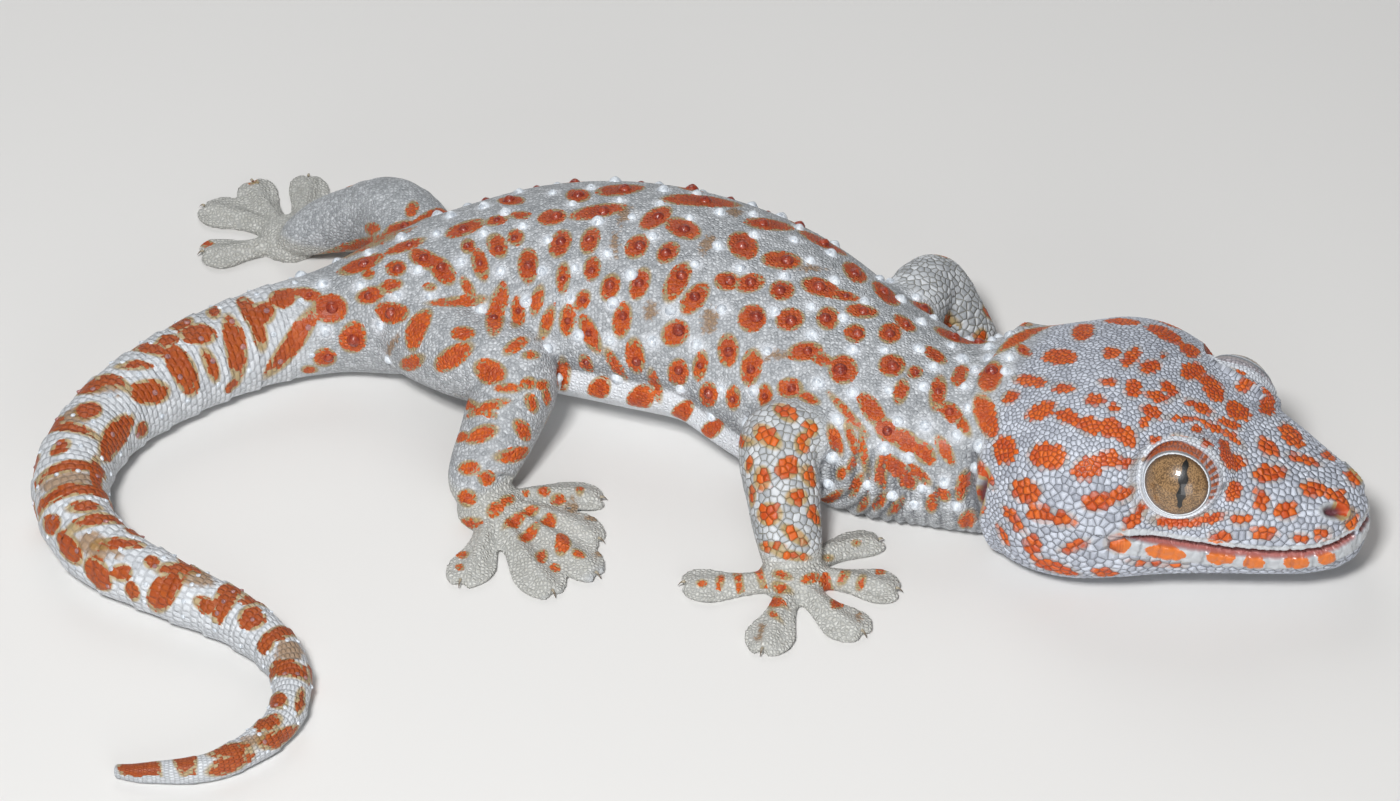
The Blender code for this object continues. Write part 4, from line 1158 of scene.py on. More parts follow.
class Cover:
    """The skin's scale cover: which kind lies where, how high it stands and how it is marked."""

    def __init__(self, grid: Grid, spine: Spine, skull: Skull, hide: Hide) -> None:
        """Measure the grid against the spine, the head and the limbs."""
        self.grid = grid
        self.spine = spine
        self.skull = skull
        self.hide = hide
        self.rng = np.random.default_rng(SEED)
        self.patches: list[Patch] = []
        self.base = grid.points.copy()
        self.at, self.angle, self.out = spine.locate(self.base)
        self.head = skull.to_head(self.base)
        self.layers = {name: np.zeros(len(self.base)) for name in ("white", "joints_and_shade", "pit_shade", "lid")}
        for tint in Tint:
            self.layers[tint.value] = np.full(len(self.base), OFF_FIELD)
        self.lift = np.zeros(len(self.base))
        self.tree = tree_of(self.base)
        triangles = np.vstack([grid.faces[:, (0, 1, 2)], grid.faces[:, (0, 2, 3)]])
        self.bvh = BVHTree.FromPolygons(self.base.tolist(), triangles.tolist(), all_triangles=True)
        self.zones()

    def zones(self) -> None:
        """Find how far each point belongs to each region."""
        foot = self.hide.foot_weight(self.base)
        off = ease(1.04, 1.16, self.out)
        head = ease(-1.0, 3.0, self.head[:, 0]) * (np.abs(self.head[:, 1]) < 24) * (1 - foot)
        tail = ease(TAIL_END - 0.2, TAIL_END - 1.4, self.at) * (1 - foot) * (self.out < 1.3)
        limb = off * (1 - head) * (1 - foot) * (1 - tail)
        self.zone = {Region.HEAD: head, Region.FOOT: foot, Region.TAIL: tail, Region.LIMB: limb}
        self.zone[Region.TRUNK] = np.clip(1 - head - foot - tail - limb, 0, 1)

    def near(self, centre: Sequence[float], reach: float) -> np.ndarray:
        """The indices of points within a reach of a place."""
        return np.array([index for _, index, _ in self.tree.find_range(Vector(centre), reach)], int)

    def closest(self, place: Sequence[float]) -> int:
        """The index of the point nearest to a place."""
        return self.tree.find(Vector(place))[1]

    def paint(self) -> None:
        """Lay every marking on the skin as a field in millimetres, above zero inside it."""
        for patch in self.patches:
            long, wide = np.linalg.norm(patch.long), np.linalg.norm(patch.wide)
            ids = self.near(patch.centre, 1.3 * max(long, wide) + 1.2)
            if len(ids) == 0:
                continue
            gap = self.base[ids] - patch.centre
            facing = self.grid.normals[ids] @ patch.normal > 0.08
            depth = np.abs(gap @ patch.normal) < 0.6 * max(long, wide) + 0.9
            value = np.where(facing & depth, (1.0 - patch.reach(gap)) * min(long, wide), OFF_FIELD)
            layer = self.layers[patch.tint.value]
            layer[ids] = np.maximum(layer[ids], value)
        self.grow_marks(0.2 * self.zone[Region.TAIL] - 0.15 * self.zone[Region.FOOT])
        for side in SIDES:
            ids, front, up, _, reach, _ = self.round_eye(side)
            clear = ids[reach < lid_crest(front / reach, up / reach) + 0.25]
            self.layers["orange"][clear] = OFF_FIELD

    def grow_marks(self, amount: np.ndarray) -> None:
        """Make the orange marks larger by millimetres, where there are any."""
        orange = self.layers["orange"]
        orange += amount * (orange > OFF_FIELD + 0.1)

    def whiten(self, amount: np.ndarray, ids: np.ndarray | slice = slice(None)) -> None:
        """Make points at least so white."""
        self.layers["white"][ids] = np.maximum(self.layers["white"][ids], amount)

    def round_eye(self, side: int) -> tuple[np.ndarray, ...]:
        """The points before one eye.

        Args:
            side: -1 for the right and 1 for the left.

        Returns:
            Their indices, how far forward and up of the lids' opening they lie, how far out, how far
            from the opening's middle, and how far out the eyeball's surface is there.
        """
        gaze = Gaze(self.skull, side)
        ids = self.near(gaze.centre, LID_SEARCH)
        front, up, out = gaze.spread(self.base[ids])
        ball = np.sqrt(np.maximum(EYE_RADIUS**2 - front**2 - up**2, 0.0))
        keep = (np.hypot(front, up) < self.hide.eye_reach) & (out > -0.8)
        front, up = front - LID_PLACE[0], (up - LID_PLACE[1]) * LID_SQUASH
        reach = np.maximum(np.hypot(front, up), 1e-3)
        return tuple(values[keep] for values in (ids, front, up, out, reach, ball))

    def raise_relief(self) -> None:
        """Lift plates, lids, folds and lips, and sink the openings."""
        self.measure_mouth()
        self.lay_plates()
        self.folds()
        self.openings()
        trunk, foot, tail = (self.zone[region] for region in (Region.TRUNK, Region.FOOT, Region.TAIL))
        hind = self.zone[Region.LIMB] * (1 - self.fore)
        self.layers["granule"] = np.clip(trunk + foot + hind, 0, 1)
        self.layers["foot"] = foot
        self.layers["limb"] = np.minimum(self.zone[Region.LIMB], self.layers["plate"])
        self.layers["whorl"] = tail
        self.whiten(0.45 * tail)
        self.layers["back"] = ease(75.0, 25.0, np.abs(self.angle)) * np.clip(trunk + tail, 0, 1)
        length = self.spine.distance(np.clip(self.at, 0, None))
        self.layers["whorl_u"] = length / (0.52 + 0.30 * ease(0.0, 80.0, length))
        self.layers["whorl_v"] = self.angle / 360.0 * TAIL_SCALES
        step = np.mod(length, TAIL_RING) / TAIL_RING
        self.lift += 0.26 * tail * (step**2 - 0.4) * ease(0.0, 25.0, length)
        self.lids()

    def measure_mouth(self) -> None:
        """Find each head point's distance to the mouth's line, above or below it, and its place along it."""
        area = np.flatnonzero(self.zone[Region.HEAD] > LEAST_SHARE)
        line = self.skull.mouth()
        steps = running(line)
        self.mouth_gap = np.full(len(self.base), NO_MOUTH)
        self.mouth_height = np.zeros(len(self.base))
        self.mouth_place = np.zeros(len(self.base))
        for start in range(0, len(area), BATCH):
            part = area[start : start + BATCH]
            gaps = np.linalg.norm(self.head[part][:, None] - line[None], axis=2)
            index = gaps.argmin(1)
            self.mouth_gap[part] = gaps[np.arange(len(index)), index]
            self.mouth_height[part] = self.head[part, 2] - line[index, 2]
            self.mouth_place[part] = np.minimum(steps[index], steps[-1] - steps[index])

    def lip_seeds(self) -> np.ndarray:
        """Seeds of the broad lip plates in even rows above and below the mouth."""
        seeds = []
        for rise, pitch in ((0.7, LIP_PITCHES[0]), (-1.35, LIP_PITCHES[1]), (-3.0, 1.3)):
            line = self.skull.mouth(rise)
            steps = running(line)
            count = int(steps[-1] / pitch)
            for place in (np.arange(count) + 0.5) * steps[-1] / count:
                point = [np.interp(place, steps, values) for values in line.T]
                seeds.append(self.base[self.closest(self.skull.spot(*point))])
        return np.array(seeds)

    def lid_seeds(self) -> np.ndarray:
        """Seeds of the small fringe scales in rings round each eye."""
        seeds = []
        for side in SIDES:
            gaze = Gaze(self.skull, side)
            for extra, pitch in ((-0.05, 0.55), (0.5, 0.68)):
                for turn in 2 * np.pi * np.arange(0, 1, pitch / LID_ROUND):
                    reach = lid_crest(math.cos(turn), math.sin(turn)) + extra
                    place = gaze.front * (LID_PLACE[0] + reach * math.cos(turn))
                    place = place + gaze.up * (LID_PLACE[1] + reach * math.sin(turn) / LID_SQUASH)
                    start = gaze.centre + place + gaze.look * (LID_SEARCH + 2.0)
                    hit = self.bvh.ray_cast(Vector(start), Vector(-gaze.look))[0]
                    if hit is not None:
                        seeds.append(np.array(hit))
        return np.array(seeds)

    def lay_plates(self) -> None:
        """Grow polygonal scales on head and fore limbs from seeds, and mark each scale whole."""
        self.fore = ease(PLATES_FROM, PLATES_FULL, self.base[:, 0])
        amount = np.clip(self.zone[Region.HEAD] + self.zone[Region.LIMB] * self.fore, 0, 1)
        self.layers["plate"] = amount
        area = np.flatnonzero(amount > LEAST_SHARE)
        plates = self.grow_plates(area)
        owners = plates.owners(self.base[area])
        edge = plate_edge(plates.gaps(self.base[area], owners))
        size = plates.room[owners[:, 0]]
        dome = 1 - np.clip(1 - edge / (0.5 * size), 0, 1) ** 2.4
        head = self.zone[Region.HEAD][area]
        self.lift[area] += amount[area] * np.clip(size, 0.4, 1.4) * (0.05 + 0.10 * head) * dome
        self.store_plates(plates, amount)

    def grow_plates(self, area: np.ndarray) -> Plates:
        """Scatter the seeds of the scales, even them out and keep them clear of lips and lids.

        Args:
            area: The indices of the points that the scales cover.

        Returns:
            The scales.
        """
        spacing = self.plate_spacing()
        sample = area[self.rng.random(len(area)) < 0.4]
        picked = sample[scatter(self.base[sample], 0.80 * spacing[sample], self.rng)]
        fixed = np.vstack([self.lip_seeds(), self.lid_seeds()])
        guard = tree_of(fixed)
        reach = np.array([guard.find(point)[2] for point in self.base[picked].tolist()])
        eyes = self.eye_distance(self.base[picked])
        lip = self.mouth_gap[picked] > 2.0 - 0.8 * (self.mouth_height[picked] > 0)
        clear = ((reach > 0.62 * spacing[picked] + 0.12) & lip) | (self.mouth_place[picked] < 1.0)
        clear &= (eyes > SEED_CLEAR) | (reach > 0.5)
        seeds = self.base[picked[clear]]
        for _ in range(2):
            seeds = self.settle(np.vstack([fixed, seeds]), area)[len(fixed) :]
        seeds = np.vstack([fixed, seeds])
        homes = np.array([self.closest(seed) for seed in seeds.tolist()])
        room = spacing[homes]
        room[: len(fixed)] = np.where(self.eye_distance(fixed) < 9.0, 0.55, 2.0)
        return Plates(seeds, room, self.rng.random(len(seeds)), self.layers["orange"][homes])

    def eye_distance(self, points: np.ndarray) -> np.ndarray:
        """How far points lie from the nearer eye's centre."""
        centres = [Gaze(self.skull, side).centre for side in SIDES]
        return np.minimum(*(np.linalg.norm(points - centre, axis=1) for centre in centres))

    def settle(self, seeds: np.ndarray, area: np.ndarray) -> np.ndarray:
        """Move every seed to the middle of the ground nearest to it."""
        owner = nearest_seeds(tree_of(seeds), self.base[area], 1)[:, 0]
        total = np.bincount(owner, minlength=len(seeds))
        sums = [np.bincount(owner, self.base[area, k], len(seeds)) for k in range(3)]
        return np.where(total[:, None] > 0, np.stack(sums, 1) / np.maximum(total, 1)[:, None], seeds)

    def store_plates(self, plates: Plates, amount: np.ndarray) -> None:
        """Keep what the shader needs to draw each scale's border exactly.

        Args:
            plates: The scales.
            amount: How far each point lies in scales of this kind.
        """
        faces, loose = self.grid.faces, self.grid.loose
        inside = (amount[faces].max(1) > LEAST_SHARE).nonzero()[0]
        corners = 4 * len(faces) + sum(len(face) for face in loose)
        self.corner_gaps = np.tile([1.0, 1.0, 1.0], (corners, 1))
        self.face_tones = np.full((len(faces) + len(loose), 3), 0.5)
        self.face_marks = np.full((len(faces) + len(loose), 3), OFF_FIELD)
        owners = plates.owners(self.base[faces[inside]].mean(1))
        gaps = plates.gaps(self.base[faces[inside]], np.repeat(owners[:, None], 4, axis=1))
        self.corner_gaps[(4 * inside[:, None] + np.arange(4)).ravel()] = gaps.reshape(-1, 3)
        self.face_tones[inside] = plates.tone[owners]
        self.face_marks[inside] = plates.mark[owners]
        start = 4 * len(faces)
        for row, face in enumerate(loose, len(faces)):
            ring = list(face)
            if amount[ring].max() > LEAST_SHARE:
                points = self.base[ring]
                owners = plates.owners(points.mean(0, keepdims=True))
                gaps = plates.gaps(points, np.repeat(owners, len(ring), axis=0))
                self.corner_gaps[start : start + len(ring)] = gaps
                self.face_tones[row] = plates.tone[owners[0]]
                self.face_marks[row] = plates.mark[owners[0]]
            start += len(ring)

    def plate_spacing(self) -> np.ndarray:
        """How far apart the scales lie: large on cheek and snout, small on crown and throat."""
        along, _, up = self.head.T
        low, high, _, _ = self.skull.section(along).T
        rise = (up - low) / np.maximum(high - low, 1.0)
        cheek = ease(0.86, 0.64, rise) * ease(3.0, 9.0, along)
        jitter = 0.78 + 0.5 * self.rng.random(len(along)) ** 2
        spacing = 0.66 + 0.56 * cheek * ease(44.0, 30.0, along)
        spacing = np.maximum(spacing, 0.98 * ease(27.0, 34.0, along)) * jitter
        eye = self.eye_distance(self.base)
        spacing = np.minimum(spacing, 0.5 + 0.8 * ease(6.5, 11.0, eye))
        return np.where(self.zone[Region.LIMB] > 0.5, 0.92 * jitter, spacing)

    def folds(self) -> None:
        """The belly's side fold with painted shade above it, and the wrinkles of shoulder, neck and joints.
        """
        trunk = self.zone[Region.TRUNK]
        side = np.abs(self.angle)
        span = ease(13.7, 14.8, self.at) * ease(19.0, 18.2, self.at) * trunk
        self.lift += span * (0.6 * ridge(side, 102.0, 9.0) - 0.34 * ridge(side, 87.0, 3.5))
        # Painted shade in a band above the side fold
        self.layers["joints_and_shade"] += 0.30 * span * ridge(side, 82.0, 6.0)
        ring = FRONT_RIGHT.bends[1].gap(self.base, 2.0)
        wave = np.sin(ring * 2 * np.pi / 1.2 + 0.8 * np.sin(self.base[:, 2] / 1.3))
        shoulder = ease(15.5, 12.0, ring) * ease(4.6, 6.0, ring) * ease(52.0, 68.0, side) * trunk
        self.wrinkle(wave, shoulder * ease(17.7, 18.4, self.at), 0.20, 0.6, -0.35)
        length = self.spine.distance(np.clip(self.at, 0, None))
        wave = np.sin(length * 2 * np.pi / 1.0 + 1.3 * np.sin(self.angle / 14.0))
        neck = ease(19.2, 19.7, self.at) * ease(50.0, 75.0, side) * trunk
        self.wrinkle(wave, neck, 0.08, 0.5, -0.4)
        self.belly(side, trunk)
        self.jaw_groove()
        for limb in LIMBS:
            gap = limb.bends[2].gap(self.base)
            self.lift += 0.05 * np.sin(gap * 2 * np.pi / 1.25) * ease(9.5, 6.0, gap) * self.zone[Region.LIMB]

    def wrinkle(
        self, wave: np.ndarray, where: np.ndarray, height: float, shade: float, trough: float
    ) -> None:
        """Lift the skin in waves, with painted shade in their troughs.

        Args:
            wave: The waves, from -1 to 1.
            where: How far each point takes part.
            height: How high they stand.
            shade: How dark the painted shade in their troughs is.
            trough: Where in a wave the painted shade begins.
        """
        self.lift += height * wave * where
        # Painted shade in the waves' troughs
        self.layers["joints_and_shade"] += shade * ease(trough, -0.95, wave) * where

    def belly(self, side: np.ndarray, trunk: np.ndarray) -> None:
        """The white band along the trunk's lower edge, and the smooth pale belly."""
        under = ease(86.5, 88.5, side) * trunk * ease(13.0, 13.8, self.at) * ease(19.3, 18.6, self.at)
        belly = ease(122, 138, side) * trunk
        self.whiten(np.maximum(under, 0.6 * belly))
        self.lift *= 1 - belly

    def jaw_groove(self) -> None:
        """The slanting furrow behind the jaw, with a fold before it and painted shade in the furrow."""
        along, across, up = self.head.T
        line = 0.22 * np.clip(12.0 - up, 0.0, 12.0) - 0.10 * np.abs(across + 9)
        near = ease(8.0, 12.0, np.abs(across)) * ease(16.0, 12.0, up)
        self.lift -= 1.1 * ridge(along, line, 0.95) * near
        self.lift += 0.45 * ridge(along, line + 1.7, 0.8) * near
        # Painted shade along the furrow
        self.layers["joints_and_shade"] += 0.8 * ridge(along, line, 0.5) * near

    def openings(self) -> None:
        """The mouth's line, the nostrils and the ears."""
        gap, inward = self.mouth_gap, self.mouth_place
        high = self.mouth_height
        corner = ease(3.6, 9.0, inward)
        width = 0.14 + 0.42 * corner
        slit = np.exp(-((gap / width) ** 4))
        self.lift -= (0.20 + 0.70 * corner) * slit
        # Painted shade along the mouth's seam near its corners
        self.layers["joints_and_shade"] += 0.8 * ridge(gap, 0.0, 0.14) * ease(4.4, 3.4, inward)
        # Dark maroon in the slit: partly the mouth's own colour, partly painted shade
        self.layers["lips"] = np.exp(-((gap / (width * 1.08)) ** 6)) * ease(3.4, 4.4, inward)
        gum = np.exp(-((gap / (width * 1.12)) ** 6)) * ease(-0.1, -0.4, high)
        self.layers["gum"] = gum * ease(4.4, 6.0, inward)
        upper = ease(0.25, 0.45, high) * ease(1.4, 1.15, high)
        lower = ease(-0.25, -0.45, high) * ease(-2.9, -2.6, high)
        lips = np.maximum(upper, lower) * ease(3.0, 5.0, inward) * (gap < 4.0)
        pitch = np.where(high > 0, *LIP_PITCHES)
        joint = np.abs(np.mod(inward / pitch, 1.0) - 0.5) * pitch
        self.lift += lips * (0.16 - 0.14 * ridge(joint, 0.0, 0.24) - 0.16 * ridge(high, -2.75, 0.22))
        self.layers["joints_and_shade"] += 0.45 * lips * ridge(joint, 0.0, 0.12)
        self.layers["plate"] *= 1 - lips
        self.whiten(0.3 * lips)
        self.layers["wet"] = lips
        self.grow_marks(0.5 * lips)
        for side in SIDES:
            for opening in (NOSTRIL, EAR):
                self.sink(opening, side)

    def sink(self, opening: Opening, side: int) -> None:
        """Sink one oval opening into the skin, with a raised brim and painted shade inside.

        Args:
            opening: The opening.
            side: -1 for the right and 1 for the left.
        """
        home = self.closest(self.skull.spot(opening.place[0], side * opening.place[1], opening.place[2]))
        centre, normal = self.base[home], self.grid.normals[home]
        along = self.skull.turn(opening.way)
        along = unit(along - normal * (along @ normal))
        across = np.cross(normal, along)
        ids = self.near(centre, opening.long * 2.4)
        gap = self.base[ids] - centre
        reach = np.hypot(gap @ along / opening.long, gap @ across / opening.wide)
        self.lift[ids] += opening.brim * ridge(reach, 1.55, 0.42) - opening.depth * np.exp(-(reach**4))
        # Painted shade inside the opening
        self.layers["pit_shade"][ids] = np.maximum(self.layers["pit_shade"][ids], np.exp(-((reach / 0.98) ** 6)))
        self.layers["plate"][ids] *= ease(1.5, 2.0, reach)

    def lids(self) -> None:
        """Draw the skin over each eyeball's edge: a thin lid, a brown crescent and a fringed fold."""
        self.shaped = self.base + self.grid.normals * self.lift[:, None]
        for side in SIDES:
            ids, front, up, out, reach, ball = self.round_eye(side)
            crest = lid_crest(front / reach, up / reach)
            height = self.lid_height(out + self.lift[ids], ball, reach, crest, ease(0.2, 0.9, up / reach))
            gaze = Gaze(self.skull, side)
            self.shaped[ids] += gaze.look * (height - (self.shaped[ids] - gaze.centre) @ gaze.look)[:, None]
            plate = ease(LID_RIM + 0.4, LID_RIM + 0.7, reach) * (1 - 0.3 * ease(6.2, 5.4, reach))
            self.layers["plate"][ids] *= plate
            self.paint_lid(side, ids, front, up, reach, crest)

    def lid_height(
        self, height: np.ndarray, ball: np.ndarray, reach: np.ndarray, crest: np.ndarray, above: np.ndarray
    ) -> np.ndarray:
        """How far out the lids' skin stands before one eye.

        Args:
            height: How far out the skin stands without them.
            ball: How far out the eyeball's surface is.
            reach: How far points lie from the opening's middle.
            crest: How far from it the outer fold runs.
            above: How far points lie in the fold's high part.

        Returns:
            One height per point.
        """
        rim = LID_RIM
        edge = -0.6 + 0.76 * ease(rim - 0.06, rim + 0.06, reach)
        edge -= 0.14 * ease(rim + 0.17, rim + 0.28, reach)
        sunk = height - 0.5 * np.maximum(height - ball, 0.0) * ease(crest + 1.5, crest, reach)
        fold = (0.26 + 0.34 * above) * ridge(reach, crest, 0.26) - 0.14 * ridge(reach, crest + 0.55, 0.20)
        over = np.maximum(sunk, ball + 0.02) + fold
        share = ease(np.minimum(crest, rim + 0.9), rim + 0.22, reach)
        fade = ease(self.hide.eye_reach - 0.4, self.hide.eye_reach - 1.1, reach)
        return height + ((ball + edge) * share + over * (1 - share) - height) * fade

    def paint_lid(
        self,
        side: int,
        ids: np.ndarray,
        front: np.ndarray,
        up: np.ndarray,
        reach: np.ndarray,
        crest: np.ndarray,
    ) -> None:
        """Colour one eye's lids: white rims and rear corner, painted shade in the seams and the brown
        crescent.

        Args:
            side: -1 for the right and 1 for the left.
            ids: The indices of the points before the eye.
            front: How far forward of the opening's middle they lie.
            up: How far up.
            reach: How far from it.
            crest: How far from it the outer fold runs.
        """
        rim = LID_RIM
        bright = ease(rim + 0.2, rim + 0.12, reach) * ease(rim - 0.02, rim + 0.04, reach)
        low = ease(0.3, -0.5, (up + 0.35 * front) / reach) * ease(crest + 0.35, crest + 0.1, reach)
        low = low * ease(rim + 0.2, rim + 0.3, reach)
        bright = np.maximum(bright, np.maximum(0.6 * ridge(reach, crest + 0.12, 0.36), 0.75 * low))
        rear = ease(-2.0, -4.2, front) * ease(4.3, 4.7, reach) * ease(6.3, 5.6, reach)
        self.whiten(np.maximum(bright, 0.7 * rear), ids)
        # Painted shade in the seam inside the lid's edge and in the dip behind the fold
        seam_shade = 0.8 * ridge(reach, rim + 0.26, 0.05) + 0.45 * ridge(reach, crest + 0.50, 0.07)
        upper = ease(-0.15, 0.25, (up + 0.45 * front) / reach)
        brown = ease(rim + 0.28, rim + 0.36, reach) * ease(crest - 0.1, crest - 0.3, reach) * upper
        turn = np.arctan2(up, front)
        cross = np.abs(np.sin(27.0 * turn + 9.0 * np.floor((reach - rim) / 0.62)))
        cross = np.maximum(ease(0.93, 1.0, cross), ridge(reach, rim + 0.62, 0.05))
        self.layers["joints_and_shade"][ids] += seam_shade
        self.layers["joints_and_shade"][ids] += 0.4 * brown * cross
        fringed = ease(0.25, 0.8, front / reach) * ease(-0.2, 0.6, np.sin(33.0 * turn))
        self.layers["lid"][ids] = brown * (1 - 0.75 * fringed) * LID_BROWN[side]

    def mesh(self) -> bpy.types.Mesh:
        """The finished skin mesh with its layers as attributes."""
        self.shaped[:, 2] = np.maximum(self.shaped[:, 2], 0.0)
        mesh = bpy.data.meshes.new("skin")
        faces = self.grid.faces.tolist() + [list(face) for face in self.grid.loose]
        mesh.from_pydata(((self.shaped - PLAN_CENTRE) * MM).tolist(), [], faces)
        mesh.polygons.foreach_set("use_smooth", np.ones(len(mesh.polygons), bool))
        for name, values in self.layers.items():
            add_layer(mesh, name, values)
        add_layer(mesh, "plate_gaps", self.corner_gaps, "CORNER")
        add_layer(mesh, "plate_tones", self.face_tones, "FACE")
        add_layer(mesh, "plate_marks", self.face_marks, "FACE")
        mesh.update()
        return mesh


def lid_crest(front: np.ndarray | float, up: np.ndarray | float) -> np.ndarray | float:
    """How far out the eyelid's outer fold stands, towards a unit direction."""
    front, up = np.asarray(front, float), np.asarray(up, float)
    return 4.52 + 0.66 * ease(-0.5, 0.7, up + 0.25 * front) + 0.25 * ease(0.1, 1.0, front)


def plate_edge(gaps: np.ndarray) -> np.ndarray:
    """The distance to the scale's border, from the two signed distances."""
    g1, g2 = gaps[..., 0], gaps[..., 1]
    smallest = np.minimum(0.0, np.minimum(g1, g2))
    second = np.maximum(np.minimum(0.0, g1), np.minimum(np.maximum(0.0, g1), g2))
    return second - smallest


@dataclass
class Markings:
    """All markings: those that the photograph shows, and those of the hidden sides by rule."""

    lens: Lens
    cover: Cover
    most_stretch: float = 3.2

    def patches(self) -> list[Patch]:
        """Every marking as a patch on the skin."""
        shown = self.shown()
        return shown + self.hidden(shown)

    def shown(self) -> list[Patch]:
        """The marks read from the photograph, cast on the skin."""
        orange = (CROWN_MARKS, CHEEK_MARKS, SNOUT_MARKS, FLANK_MARKS, EDGE_MARKS, ARM_MARKS, LEG_MARKS)
        groups = [(marks, Tint.ORANGE) for marks in (*orange, TAIL_MARKS, BACK_MARKS)]
        groups.append((OCHRE_MARKS, Tint.OCHRE))
        cast = [self.cast(mark, tint) for marks, tint in groups for mark in marks]
        return [patch for patch in cast if patch is not None]

    def cast(self, mark: Mark, tint: Tint) -> Patch | None:
        """One mark on the skin, or None where its place misses the animal."""
        eye = self.lens.place()
        sight = self.lens.ray(mark.x, mark.y)
        hit = self.cover.bvh.ray_cast(Vector(eye), Vector(sight))[0]
        if hit is None:
            return None
        centre = np.array(hit)
        normal = self.cover.grid.normals[self.cover.closest(centre)]
        facing = -float(normal @ sight)
        normal = unit(normal - sight * max(0.0, 1 / self.most_stretch - facing))
        turn = math.radians(mark.turn)
        axes = []
        for reach, angle in ((mark.long, turn), (mark.wide, turn + math.pi / 2)):
            way = self.lens.ray(mark.x + reach * math.cos(angle), mark.y - reach * math.sin(angle))
            axes.append(eye + way * ((centre - eye) @ normal) / (way @ normal) - centre)
        return Patch(centre, axes[0], axes[1], normal, tint)

    def hidden(self, shown: Sequence[Patch]) -> list[Patch]:
        """Marks by rule where the camera doesn't see."""
        cover = self.cover
        rng = np.random.default_rng(SEED + 1)
        sample = np.flatnonzero(rng.random(len(cover.base)) < 0.06)
        sample = sample[(cover.grid.normals[sample, 2] > -0.55) & (cover.base[sample, 2] > 0.4)]
        limb, foot = cover.zone[Region.LIMB], cover.zone[Region.FOOT]
        picked = sample[scatter(cover.base[sample], 5.2 - 1.9 * (limb + foot)[sample], rng)]
        centres = tree_of(np.array([patch.centre for patch in shown]))
        eye = self.lens.place()
        patches = []
        for index in picked:
            point, normal = cover.base[index], cover.grid.normals[index]
            to_eye = unit(eye - point)
            seen = cover.bvh.ray_cast(Vector(point + (normal + to_eye) * 0.4), Vector(to_eye))[0] is None
            if seen and normal @ to_eye > 0.05 or centres.find(Vector(point))[2] < 3.4:
                continue
            step = int(np.clip(cover.at[index] / cover.spine.step, 0, len(cover.spine.ways) - 1))
            way = np.array([*cover.spine.ways[step], 0.0])
            if cover.zone[Region.HEAD][index] > 0.5:
                way = unit(np.array([*rng.normal(size=2), 0.0]))
            across = unit(np.cross(normal, way))
            along = np.cross(across, normal)
            size = rng.uniform(0.85, 1.25) * (1.0 - 0.35 * limb[index] - 0.5 * foot[index])
            patches.append(Patch(point, across * 2.0 * size, along * 1.35 * size, normal, Tint.ORANGE))
        return patches


